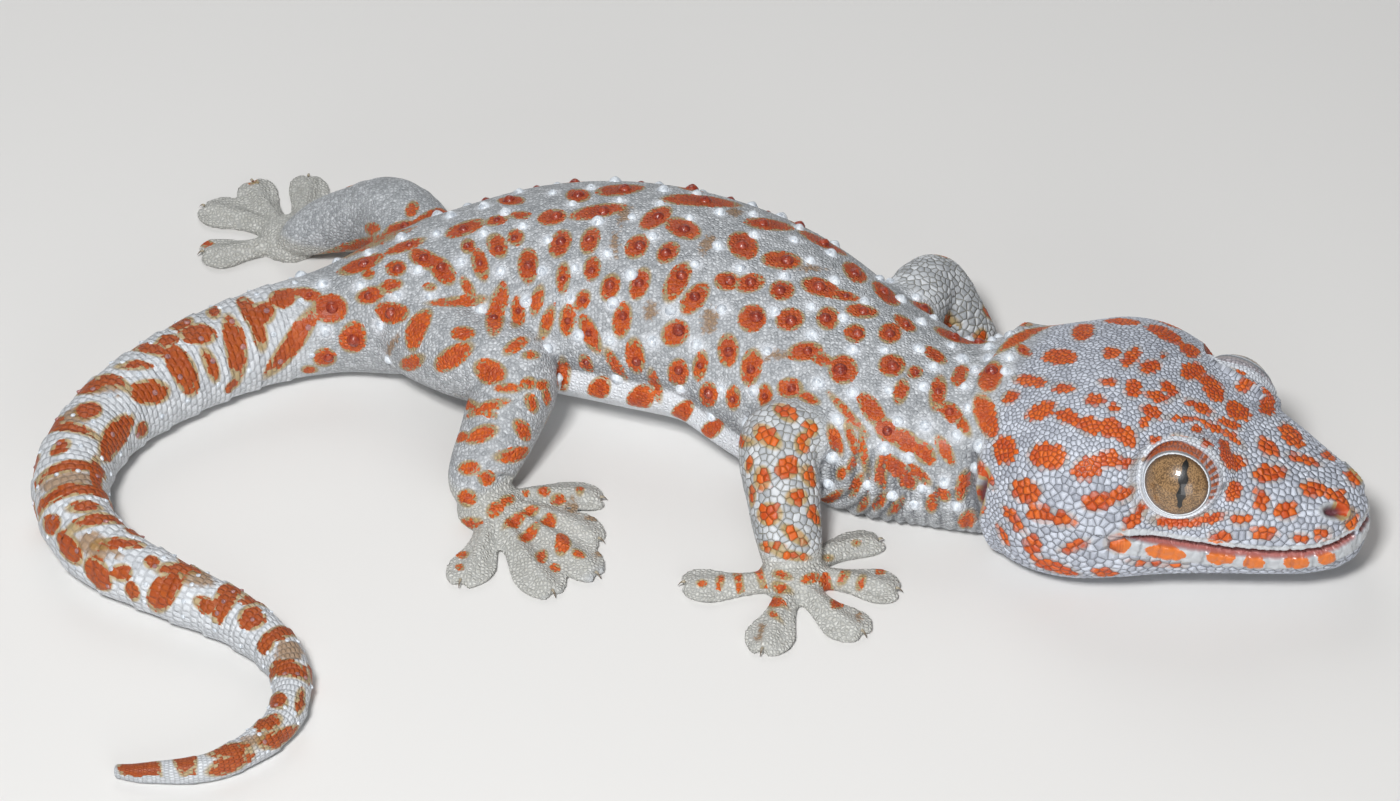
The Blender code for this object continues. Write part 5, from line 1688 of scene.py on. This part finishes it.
@dataclass
class Tubercles:
    """Conical tubercles: dark ones in the spots, white ones between them and along the tail's rings.

    Attributes:
        cover: The scale cover that they stand on.
        radius: The usual one's radius.
        height: The usual one's height.
        wobble: How far its outline strays.
        wide: The share of the radius at each ring.
        rise: The share of the height at each ring.
        sides: The points of a ring.
        shell: All tubercles' points and faces.
        colours: How dark each point is.
    """

    cover: Cover
    radius: float = 0.80
    height: float = 0.58
    wobble: float = 0.02
    wide: tuple[float, ...] = (1.0, 0.94, 0.78, 0.54, 0.30, 0.10)
    rise: tuple[float, ...] = (-0.35, 0.08, 0.38, 0.68, 0.88, 0.98)
    sides: int = 14
    shell: Shell = field(default_factory=Shell)
    colours: list[np.ndarray] = field(default_factory=list)

    def dome(
        self, index: int, size: float, dark: float, lean: np.ndarray | float = 0.0, sharp: float = 1.0
    ) -> None:
        """Add one tubercle.

        Args:
            index: The skin point under it.
            size: Its size against the usual one.
            dark: 1 for a dark tubercle and 0 for a white one.
            lean: The way its tip leans, in millimetres.
            sharp: How high it stands against its width.
        """
        centre, normal = self.cover.shaped[index], self.cover.grid.normals[index]
        helper = np.array([0.0, 0.0, 1.0]) if abs(normal[2]) < 0.8 else np.array([1.0, 0.0, 0.0])
        across = unit(np.cross(normal, helper))
        along = np.cross(normal, across)
        turn = circle(self.sides)
        ring = np.cos(turn)[:, None] * across + np.sin(turn)[:, None] * along
        rings = []
        for wide, rise in zip(self.wide, self.rise):
            wobble = 1 + self.cover.rng.normal(0, self.wobble, self.sides)[:, None]
            middle = centre + normal * rise * self.height * size * sharp + lean * max(rise, 0.0)
            rings.append(middle + ring * wide * self.radius * size * wobble)
        self.shell.add_loft(np.array(rings))
        self.colours.append(np.full(len(rings) * self.sides + 2, dark))

    def in_spots(self) -> None:
        """One dark tubercle in each of the trunk's spots."""
        cover = self.cover
        for patch in cover.patches:
            small = min(np.linalg.norm(patch.long), np.linalg.norm(patch.wide))
            home = cover.closest(patch.centre + patch.long * cover.rng.uniform(-0.25, 0.35))
            low = cover.base[home, 2] < 2.5 or abs(cover.angle[home]) > UNDERSIDE
            if patch.tint is Tint.OCHRE or cover.zone[Region.TRUNK][home] < 0.6 or small < 0.75 or low:
                continue
            if cover.at[home] > 18.8 and cover.rng.random() < 0.5:
                continue
            self.dome(home, min(1.1, 0.72 * small) * cover.rng.uniform(0.9, 1.1), 1.0)

    def between_spots(self) -> None:
        """White tubercles where no spot lies, denser towards the neck."""
        cover = self.cover
        trunk = cover.zone[Region.TRUNK] > 0.7
        orange = cover.layers["orange"]
        free = trunk & (np.abs(cover.angle) < UNDERSIDE) & (cover.base[:, 2] > 3.0) & (orange < -0.55)
        sample = np.flatnonzero(free & (cover.rng.random(len(trunk)) < 0.3) & (cover.head[:, 0] < 0.5))
        spacing = 4.3 - 1.5 * ease(18.5, 20.0, cover.at[sample])
        for home in sample[scatter(cover.base[sample], spacing, cover.rng)]:
            size = cover.rng.uniform(0.8, 1.25)
            self.dome(home, size, 0.0)
            ids = cover.near(cover.base[home], 2.0)
            gap = np.linalg.norm(cover.base[ids] - cover.base[home], axis=1)
            cover.whiten(0.75 * ease(1.6, 0.7, gap) * (orange[ids] < -0.1), ids)

    def on_tail(self) -> None:
        """Six rows of small backward cones, one at the end of each tail ring."""
        cover = self.cover
        spine = cover.spine
        total = float(spine.distance(np.array([TAIL_END - 0.6]))[0])
        for length in np.arange(18.0, total, TAIL_RING):
            at = float(np.interp(length, spine.length, spine.at))
            size = 0.32 + 0.22 * length / total
            way = -np.array([*spine.ways[int(at / spine.step)], 0.0])
            for angle in (-84, -50, -17, 17, 50, 84):
                home = cover.closest(spine.surface(at, angle + cover.rng.normal(0, 2)))
                self.dome(home, size, 0.8 * (cover.layers["orange"][home] > 0), way * 0.55 * size, 0.9)

    def build(self, material: bpy.types.Material) -> None:
        """Make all tubercles as one piece.

        Args:
            material: The tubercles' material.
        """
        self.in_spots()
        self.between_spots()
        self.on_tail()
        mesh = self.shell.mesh("tubercles")
        add_layer(mesh, "dark", np.concatenate(self.colours))
        place_piece("tubercles", mesh, material)
        LOG.info("tubercles: %d faces", len(mesh.polygons))


Colour = tuple[float, float, float, float]


def seen(red: float, green: float, blue: float) -> Colour:
    """A colour judged from 0 to 255 a channel, in linear light."""
    parts = [c / 255.0 for c in (red, green, blue)]
    r, g, b = (c / 12.92 if c <= 0.04045 else ((c + 0.055) / 1.055) ** 2.4 for c in parts)
    return (r, g, b, 1.0)


@dataclass(frozen=True)
class Value:
    """A socket's value, which adds, subtracts and multiplies as a number does."""

    net: "Net"
    socket: bpy.types.NodeSocket

    def __add__(self, other: "Value | float") -> "Value":
        """The sum."""
        return self.net.maths("ADD", self, other)

    def __sub__(self, other: "Value | float") -> "Value":
        """What is left after taking another away."""
        return self.net.maths("SUBTRACT", self, other)

    def __rsub__(self, other: float) -> "Value":
        """What is left of a number after taking this away."""
        return self.net.maths("SUBTRACT", other, self)

    def __mul__(self, other: "Value | float") -> "Value":
        """The product."""
        return self.net.maths("MULTIPLY", self, other)

    def __pow__(self, power: float) -> "Value":
        """The power."""
        return self.net.maths("POWER", self, power)

    def __abs__(self) -> "Value":
        """The value without its sign."""
        return self.net.maths("ABSOLUTE", self)

    def ramp(self, low: object, high: object, start: float = 0.0, stop: float = 1.0) -> "Value":
        """A smooth change from start to stop as this goes from low to high."""
        values = {"Value": self, "From Min": low, "From Max": high, "To Min": start, "To Max": stop}
        return self.net.node("ShaderNodeMapRange", "Result", values, interpolation_type="SMOOTHSTEP")

    __radd__ = __add__
    __rmul__ = __mul__


class Net:
    """A node tree, written as sums over its values."""

    def __init__(self, tree: bpy.types.NodeTree) -> None:
        """Keep the tree."""
        self.tree = tree

    def feed(self, made: bpy.types.Node, values: dict) -> None:
        """Set a node's inputs, or link values to them, by name or number."""
        for key, value in values.items():
            if isinstance(value, Value):
                self.tree.links.new(value.socket, made.inputs[key])
            else:
                made.inputs[key].default_value = value

    def add(self, kind: str, values: dict, **settings: object) -> bpy.types.Node:
        """Add a node by its type's name, with its input values and its properties."""
        made = self.tree.nodes.new(kind)
        for key, value in settings.items():
            setattr(made, key, value)
        self.feed(made, values)
        return made

    def node(self, kind: str, output: str | int, values: dict, **settings: object) -> Value:
        """Add a node and take one of its outputs.

        Args:
            kind: The node's type name.
            output: The output's name or number.
            values: Its input values.
            settings: Its properties.

        Returns:
            The output's value.
        """
        return Value(self, self.add(kind, values, **settings).outputs[output])

    def maths(self, operation: str, *values: Value | float) -> Value:
        """The result of a maths node."""
        return self.node("ShaderNodeMath", 0, dict(enumerate(values)), operation=operation)

    def least(self, *values: Value | float) -> Value:
        """The smaller of two values."""
        return self.maths("MINIMUM", *values)

    def most(self, *values: Value | float) -> Value:
        """The larger of two values."""
        return self.maths("MAXIMUM", *values)

    def blend(self, mask: Value, under: Value | Colour, over: Value | Colour) -> Value:
        """The colour over laid on the colour under by a mask."""
        return self.node("ShaderNodeMix", 2, {0: mask, 6: under, 7: over}, data_type="RGBA")

    def between(self, share: Value, first: Value, second: Value) -> Value:
        """A value part of the way from the first to the second."""
        return self.node("ShaderNodeMix", 0, {0: share, 2: first, 3: second}, data_type="FLOAT")

    def attribute(self, name: str, output: str = "Fac") -> Value:
        """The value of a mesh attribute."""
        return self.node("ShaderNodeAttribute", output, {}, attribute_name=name)

    def parts(self, vector: Value) -> tuple[Value, Value, Value]:
        """The three parts of a vector."""
        made = self.add("ShaderNodeSeparateXYZ", {0: vector})
        return tuple(Value(self, socket) for socket in made.outputs)

    def noise(self, place: Value, scale: float, detail: float = 2.0, roughness: float = 0.5) -> Value:
        """Soft noise from 0 to 1."""
        values = {"Vector": place, "Scale": scale, "Detail": detail, "Roughness": roughness}
        return self.node("ShaderNodeTexNoise", "Fac", values)


class Group(Net):
    """A shader group with named sockets, built once and used in more than one material."""

    def __init__(self, name: str, takes: dict[str, float | None], gives: tuple[str, ...]) -> None:
        """Make the tree and its sockets.

        Args:
            name: The group's name.
            takes: Each input's usual number, or None for a vector.
            gives: The outputs' names.
        """
        super().__init__(bpy.data.node_groups.new(name, "ShaderNodeTree"))
        self.gives = gives
        for label, usual in takes.items():
            kind = "NodeSocketVector" if usual is None else "NodeSocketFloat"
            socket = self.tree.interface.new_socket(label, in_out="INPUT", socket_type=kind)
            if usual is not None:
                socket.default_value = usual
        for label in gives:
            self.tree.interface.new_socket(label, in_out="OUTPUT", socket_type="NodeSocketFloat")
        start = self.add("NodeGroupInput", {})
        self.inputs = {label: Value(self, start.outputs[label]) for label in takes}
        self.stop = self.add("NodeGroupOutput", {})

    def give(self, label: str, value: Value) -> None:
        """Send a value out."""
        self.feed(self.stop, {label: value})

    def use(self, net: Net, **values: object) -> dict[str, Value]:
        """Add the group to a net, and give its outputs by name."""
        made = net.add("ShaderNodeGroup", values, node_tree=self.tree)
        return {label: Value(net, made.outputs[label]) for label in self.gives}


def plate_group() -> Group:
    """Polygonal scales from the distances to three seeds: height, groove, tone and marking."""
    takes = {"Gaps": None, "Tones": None, "Marks": None}
    group = Group("Plates", takes, ("Height", "Groove", "Tone", "Mark"))
    g1, g2, size = group.parts(group.inputs["Gaps"])
    smallest = group.least(0.0, group.least(g1, g2))
    capped = group.least(group.most(0.0, g1), g2)
    edge = group.most(group.least(0.0, g1), capped) - smallest
    inner = group.most(0.0, 1.0 - group.maths("DIVIDE", edge, size * 0.5))
    group.give("Height", (1.0 - inner**2.6) * size)
    group.give("Groove", edge.ramp(0.01, 0.085, 1.0, 0.0))
    is_second = group.maths("LESS_THAN", g1, group.least(0.0, g2))
    is_third = group.maths("LESS_THAN", g2, group.least(0.0, g1))
    for label, name in (("Tone", "Tones"), ("Mark", "Marks")):
        first, other, last = group.parts(group.inputs[name])
        group.give(label, group.between(is_third, group.between(is_second, first, other), last))
    return group


def granule_group() -> Group:
    """Small rounded scales packed side by side: height, groove and tone."""
    group = Group("Granules", {"Vector": None, "Size": 0.0007}, ("Height", "Groove", "Tone"))
    scale = group.maths("DIVIDE", 1.0, group.inputs["Size"])
    values = {"Vector": group.inputs["Vector"], "Scale": scale, "Randomness": 0.75}
    edge = group.node("ShaderNodeTexVoronoi", "Distance", values, feature="DISTANCE_TO_EDGE")
    cell = group.node("ShaderNodeTexVoronoi", "Color", values, feature="F1")
    group.give("Height", edge.ramp(0.0, 0.40))
    group.give("Groove", edge.ramp(0.02, 0.17, 1.0, 0.0))
    group.give("Tone", group.node("ShaderNodeSeparateColor", 0, {"Color": cell}))
    return group


def ragged_group() -> Group:
    """A marking's mask from its field in millimetres, its edge broken by noise and by whole scales."""
    takes = {"Field": 0.0, "Vector": None, "Tone": 0.5, "Amount": 0.35, "Soft": 0.06}
    group = Group("Ragged", takes, ("Mask",))
    noise = group.noise(group.inputs["Vector"], 950.0, 4.0, 0.65)
    shift = (noise - 0.5) + (group.inputs["Tone"] - 0.5) * 0.6
    value = group.inputs["Field"] + shift * group.inputs["Amount"]
    soft = group.inputs["Soft"]
    group.give("Mask", value.ramp(soft * -1.0, soft))
    return group


def whorl_group() -> Group:
    """The tail's rings of oblong scales, from a place along and a place around: height, groove and tone."""
    group = Group("Whorls", {"Along": 0.0, "Around": 0.0, "Vector": None}, ("Height", "Groove", "Tone"))
    wave = (group.noise(group.inputs["Vector"], 420.0) - 0.5) * 0.9
    along = group.inputs["Along"] + wave
    row = group.maths("FLOOR", along)
    around = group.inputs["Around"] + group.maths("MODULO", row, 2.0) * 0.5 + 60.0 + wave * 0.5
    share, turn = group.maths("FRACT", along), group.maths("FRACT", around)
    off, aside = (abs(part - 0.5) for part in (share, turn))
    edge = 1.0 - ((off * 2.0) ** 3.0 + (aside * 2.0) ** 3.0) ** 0.333
    group.give("Height", edge.ramp(0.0, 0.5) * 0.7 + (1.0 - share) * 0.45)
    group.give("Groove", edge.ramp(0.02, 0.2, 1.0, 0.0))
    pair = group.node("ShaderNodeCombineXYZ", 0, {0: row, 1: group.maths("FLOOR", around)})
    chance = group.node("ShaderNodeTexWhiteNoise", "Value", {"Vector": pair}, noise_dimensions="3D")
    group.give("Tone", chance)
    return group


class Paint(Net):
    """A new material: its net, its shader's inputs and its place on the object."""

    def __init__(self, name: str) -> None:
        """Make the material."""
        self.material = bpy.data.materials.new(name)
        self.material.use_nodes = True
        super().__init__(self.material.node_tree)
        self.shader = self.tree.nodes["Principled BSDF"]
        self.place = self.node("ShaderNodeTexCoord", "Object", {})

    def surface(self, colour: Value, roughness: Value | float, **coat: Value | float) -> None:
        """Set the shader's colour and roughness, and its coat's inputs by name."""
        self.feed(self.shader, {"Base Color": colour, "Roughness": roughness})
        self.feed(self.shader, {f"Coat {key}": value for key, value in coat.items()})

    def bump(self, strength: float, distance: float, height: Value) -> None:
        """Raise the surface by a height, over a distance in metres."""
        values = {"Strength": strength, "Distance": distance, "Height": height}
        self.feed(self.shader, {"Normal": self.node("ShaderNodeBump", "Normal", values)})


@dataclass(frozen=True)
class SkinFinish:
    """The skin's colours as judged, and its gloss."""

    pale: Colour = seen(166, 170, 174)
    bright: Colour = seen(212, 216, 220)
    head_pale: Colour = seen(167, 172, 184)
    head_bright: Colour = seen(206, 212, 224)
    white: Colour = seen(236, 240, 246)
    cream: Colour = seen(216, 213, 198)
    # dull: the scales' dark joints and the painted shade in creases and seams
    dull: Colour = seen(84, 86, 92)
    olive: Colour = seen(122, 112, 70)
    orange: Colour = seen(188, 71, 12)
    bright_orange: Colour = seen(214, 99, 19)
    rust: Colour = seen(152, 56, 22)
    umber: Colour = seen(146, 72, 22)
    # The lips' orange, yellower and brighter: partly their own hue, partly painted light against their shade
    lit_amber: Colour = seen(236, 132, 30)
    fringe: Colour = seen(172, 138, 50)
    ochre: Colour = seen(150, 108, 52)
    # mouth: the slit's maroon, partly its own colour and partly painted shade
    mouth: Colour = seen(92, 30, 30)
    gum: Colour = seen(186, 112, 106)
    # Painted shade inside nostrils and ears, tinted mauve
    pit_shade: Colour = seen(104, 58, 66)
    lid: Colour = seen(168, 84, 40)
    roughness: float = 0.50
    granule_size: float = 0.00050
    relief: float = 0.00024
    grooves: tuple[float, float, float] = (0.66, 0.42, 0.34)
    heights: tuple[float, float, float] = (0.9, 0.62, 0.8)

    def make(self, plates: Group, granules: Group, ragged: Group, whorls: Group) -> bpy.types.Material:
        """Build the material from the shared groups.

        Args:
            plates: The polygonal scales.
            granules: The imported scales.
            ragged: The markings' edge.
            whorls: The tail's rings of scales.

        Returns:
            The skin material.
        """
        net = Paint("gecko_skin")
        names = ("plate", "granule", "whorl", "limb", "foot", "back", "white", "wet", "orange", "ochre")
        at = {name: net.attribute(name) for name in names}
        layers = {"Gaps": "plate_gaps", "Tones": "plate_tones", "Marks": "plate_marks"}
        plate = plates.use(net, **{label: net.attribute(name, "Vector") for label, name in layers.items()})
        fine = granules.use(net, Vector=net.place, Size=self.granule_size)
        along, around = net.attribute("whorl_u"), net.attribute("whorl_v")
        kinds = (plate, fine, whorls.use(net, Along=along, Around=around, Vector=net.place))
        areas = (at["plate"], at["granule"], at["whorl"])

        def mixed(output: str, weights: Sequence[float]) -> Value:
            """One output of the three kinds of scale, each in its own area."""
            first, second, third = (k[output] * (area * w) for k, area, w in zip(kinds, areas, weights))
            return first + second + third

        tone = plate["Tone"] * areas[0] + fine["Tone"] * areas[1] + kinds[2]["Tone"] * areas[2]
        # The scales' own dark joints, plus the painted shade held in the skin's joints_and_shade layer
        joints_and_shade = mixed("Groove", self.grooves) * (1.0 - at["white"] * 0.6) + net.attribute("joints_and_shade")
        cloud = net.noise(net.place, 170.0, 4.0)
        shade = tone * 0.5 + cloud * 0.5
        light = shade.ramp(0.2, 0.85)
        on_head = at["plate"] - at["limb"]
        colour = net.blend(light, self.pale, self.bright)
        colour = net.blend(on_head, colour, net.blend(light, self.head_pale, self.head_bright))
        colour = net.blend(at["foot"] * 0.5, colour, self.cream)
        colour = net.blend(at["white"] * 0.9, colour, self.white)

        def torn(value: Value, scale: Value, amount: float, soft: float) -> Value:
            """A marking's mask with its ragged edge."""
            values = {"Field": value, "Vector": net.place, "Tone": scale, "Amount": amount, "Soft": soft}
            return ragged.use(net, **values)["Mask"]

        whole = torn(plate["Mark"], plate["Tone"], 0.22, 0.05)
        spot = net.between(at["plate"] * 0.8, torn(at["orange"], tone, 0.95, 0.05), whole)
        halo = at["orange"].ramp(-0.48, -0.08) * (1.0 - on_head * 0.7) * (1.0 - at["wet"]) * 0.75
        colour = net.blend(halo, colour, self.fringe)
        colour = net.blend(torn(at["ochre"], tone, 1.1, 0.35) * 0.8, colour, self.ochre)
        fire = net.blend(shade.ramp(0.25, 0.8), self.orange, self.bright_orange)
        deep = at["orange"].ramp(0.3, 1.4) * at["granule"] * 0.4
        fire = net.blend(at["back"] * 0.3 + deep, fire, self.rust)
        fire = net.blend(at["whorl"] * (0.35 + cloud * 0.5), fire, self.umber)
        # Brighter orange on the lips: partly their own hue, partly painted light
        fire = net.blend(at["wet"] * 0.6, fire, self.lit_amber)
        colour = net.blend(spot, colour, fire)
        colour = net.blend(net.attribute("lid"), colour, self.lid)
        # Darken towards dull, olive on the limbs and rust in the spots: dark joints and painted shade
        dark = net.blend(at["limb"] * 0.8, self.dull, self.olive)
        dark = net.blend(spot * 0.75, dark, self.rust)
        colour = net.blend(net.least(joints_and_shade, 0.85), colour, dark)
        # The mouth's slit, partly painted shade; the gums; painted shade inside nostrils and ears
        for name, over in (("lips", self.mouth), ("gum", self.gum), ("pit_shade", self.pit_shade)):
            colour = net.blend(net.attribute(name), colour, over)
        rough = cloud.ramp(0.3, 0.7, self.roughness - 0.06, self.roughness + 0.08) - at["wet"] * 0.2
        net.surface(colour, rough, Weight=0.05 + at["wet"] * 0.5 + on_head * 0.12, Roughness=0.22)
        net.bump(1.0, self.relief, mixed("Height", self.heights) + net.noise(net.place, 5200.0) * 0.1)
        return net.material


@dataclass(frozen=True)
class TubercleFinish:
    """White and dark tubercles, glossier than the skin between them."""

    white: Colour = seen(224, 231, 238)
    grey: Colour = seen(176, 184, 194)
    dark: Colour = seen(128, 44, 32)
    warm: Colour = seen(168, 68, 38)

    def make(self, granules: Group) -> bpy.types.Material:
        """Build the tubercles' material with the shared small scales round their feet."""
        net = Paint("gecko_tubercle")
        fine = granules.use(net, Vector=net.place, Size=0.00048)
        cloud = net.noise(net.place, 1500.0, 3.0)
        shade = fine["Tone"] * 0.4 + cloud * 0.6
        pale = net.blend(shade.ramp(0.2, 0.6), self.grey, self.white)
        deep = net.blend(shade.ramp(0.3, 0.75), self.dark, self.warm)
        colour = net.blend(net.attribute("dark"), pale, deep)
        net.surface(colour, cloud.ramp(0.3, 0.7, 0.26, 0.42), Weight=0.3, Roughness=0.15)
        net.bump(0.5, 0.00012, fine["Height"])
        return net.material


@dataclass(frozen=True)
class EyeFinish:
    """The iris, its slit pupil and the wet surface."""

    gold: Colour = seen(160, 126, 86)
    olive: Colour = seen(98, 74, 48)
    edge: Colour = seen(74, 50, 26)
    slit: Colour = seen(8, 8, 8)
    pupil_place: tuple[float, float] = (0.33, 0.86)
    pupil_half: float = 3.05
    pupil_lean: float = 0.013

    def make(self) -> bpy.types.Material:
        """Build the eye's material from the eyeball's own attributes."""
        net = Paint("gecko_eye")
        front, up = net.attribute("front"), net.attribute("up")
        aside = front - LID_PLACE[0]
        above = (up - LID_PLACE[1]) * LID_SQUASH
        reach = net.maths("SQRT", aside * aside + above * above)
        grain = net.noise(net.place, 5200.0, 3.0)
        speck = grain * 0.8 + net.noise(net.place, 500.0, 3.0) * 0.2
        colour = net.blend(speck.ramp(0.40, 0.58), self.olive, self.gold)
        colour = net.blend(reach.ramp(LID_RIM - 0.5, LID_RIM, 0.0, 0.9), colour, self.edge)
        scallop = net.maths("COSINE", (up + 0.2) * 3.4) * 0.13 + 0.47
        taper = 1.0 - (abs(up - self.pupil_place[1]) * (1 / self.pupil_half)) ** 5.0
        jag = (net.noise(net.place, 1900.0) - 0.5) * 0.34
        width = (scallop + jag) * net.most(taper, 0.0)
        inside = width - abs(front + up * self.pupil_lean - self.pupil_place[0])
        colour = net.blend(inside.ramp(-0.5, 0.0, 0.0, 0.3), colour, self.edge)
        colour = net.blend(inside.ramp(-0.03, 0.03), colour, self.slit)
        net.surface(colour, 0.35, Weight=1.0, Roughness=0.03, IOR=1.4)
        net.bump(0.2, 0.0001, grain)
        return net.material


@dataclass(frozen=True)
class HornFinish:
    """Pale smoky horn for the claws."""

    root: Colour = seen(168, 158, 138)
    tip: Colour = seen(92, 76, 62)

    def make(self) -> bpy.types.Material:
        """Build the claws' material."""
        net = Paint("gecko_claw")
        streak = net.noise(net.place, 2600.0, 3.0)
        mask = net.attribute("tip") + (streak - 0.5) * 0.4
        net.surface(net.blend(mask.ramp(0.1, 0.9), self.root, self.tip), streak.ramp(0.3, 0.7, 0.25, 0.4))
        return net.material


@dataclass
class Eye:
    """One eyeball, a wet sphere."""

    skull: Skull
    side: int
    rows: int = 90
    sides: int = 128

    def build(self, material: bpy.types.Material) -> None:
        """Make the eyeball.

        Args:
            material: The eye's material.
        """
        name = "eye_left" if self.side > 0 else "eye_right"
        gaze = Gaze(self.skull, self.side)
        polar = np.linspace(0.004, math.pi - 0.01, self.rows)[:, None, None]
        turn = circle(self.sides)[None, :, None]
        aside = gaze.front * np.cos(turn) + gaze.up * np.sin(turn)
        ways = gaze.look * np.cos(polar) + aside * np.sin(polar)
        shell = Shell()
        shell.add_loft(gaze.centre + ways * EYE_RADIUS)
        mesh = shell.mesh(name + "_ball")
        front, up, out = gaze.spread(np.vstack(shell.points))
        behind = np.where(out < 0, 9.0, 0.0)
        add_layer(mesh, "front", front + behind)
        add_layer(mesh, "up", up)
        ball = place_piece(name + "_ball", mesh, material)
        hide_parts(name)


@dataclass
class Claws:
    """The small hooked claws, one in the notch of each toe's end."""

    radius: float = 0.17
    length: float = 0.95
    sides: int = 12

    def build(self, material: bpy.types.Material) -> None:
        """Make all claws as one piece.

        Args:
            material: The horn material.
        """
        shell = Shell()
        tips: list[np.ndarray] = []
        turn = circle(self.sides)
        for limb in LIMBS:
            for toe in limb.toes:
                _, way, _ = limb.toe_line(toe)
                side = np.array([-way[1], way[0], 0.0])
                rings = []
                for t in np.linspace(0, 1, 9):
                    radius = self.radius * (1 - t) ** 0.8 + 0.03
                    x, y = (toe.x, toe.y) + way * (self.length * t - self.length)
                    height = 0.95 + 0.28 * math.sin(math.pi * t) - 0.62 * t
                    ring = np.array([x, y, height]) + np.outer(np.cos(turn), side) * radius
                    ring[:, 2] = np.maximum(ring[:, 2] + radius * np.sin(turn), 0.05)
                    rings.append(ring)
                    tips.append(np.full(self.sides, t))
                shell.add_loft(np.array(rings))
                tips.append(np.array([0.0, 1.0]))
        mesh = shell.mesh("claws")
        add_layer(mesh, "tip", np.concatenate(tips))
        place_piece("claws", mesh, material)


@dataclass
class Studio:
    """The pale floor and the soft light."""

    floor_colour: Colour = seen(226, 225, 223)
    key_power: float = 3.3
    fill_power: float = 0.9
    sky: float = 0.14
    sky_colour: Colour = (0.95, 0.97, 1.0, 1.0)
    aim: tuple[float, float, float] = (0.0, 0.0, 0.01)

    def build(self) -> None:
        """Make the floor, the lamps and the world."""
        bpy.ops.mesh.primitive_plane_add(size=6.0, location=(0.0, 0.0, -0.00005))
        floor = bpy.context.object
        floor.name = "floor"
        material = bpy.data.materials.new("floor")
        material.use_nodes = True
        shader = material.node_tree.nodes["Principled BSDF"]
        shader.inputs["Base Color"].default_value = self.floor_colour
        shader.inputs["Roughness"].default_value = 0.75
        floor.data.materials.append(material)
        self.lamp("key", (-0.12, -0.33, 0.52), 0.12, self.key_power)
        self.lamp("fill", (0.12, -0.55, 0.14), 0.30, self.fill_power)
        self.lamp("back", (-0.10, 0.50, 0.45), 0.35, self.fill_power)
        world = bpy.data.worlds.new("world")
        bpy.context.scene.world = world
        world.use_nodes = True
        background = world.node_tree.nodes["Background"]
        background.inputs["Color"].default_value = self.sky_colour
        background.inputs["Strength"].default_value = self.sky
        bpy.context.scene.view_settings.view_transform = "Standard"

    def lamp(self, name: str, place: tuple[float, float, float], size: float, power: float) -> None:
        """Add one square area lamp aimed at the animal."""
        data = bpy.data.lights.new(name, "AREA")
        data.size = size
        data.energy = power
        lamp = add_object(name, data)
        lamp.location = place
        lamp.rotation_euler = (Vector(self.aim) - Vector(place)).to_track_quat("-Z", "Y").to_euler()


def main() -> None:
    """Build every piece in order."""
    logging.basicConfig(level=logging.INFO, format="%(message)s")
    lens = Lens()
    lens.make()
    Studio().build()
    granules = granule_group()
    skin = SkinFinish().make(plate_group(), granules, ragged_group(), whorl_group())
    skull = Skull()
    hide = Hide(Spine(), skull, lens)
    cover = hide.cover()
    Tubercles(cover).build(TubercleFinish().make(granules))
    hide.build(cover, skin)
    LOG.info("skin built")
    eye = EyeFinish().make()
    for side in SIDES:
        Eye(skull, side).build(eye)
    LOG.info("eyes built")
    Claws().build(HornFinish().make())
    LOG.info("claws built")


if __name__ == "__main__":
    main()
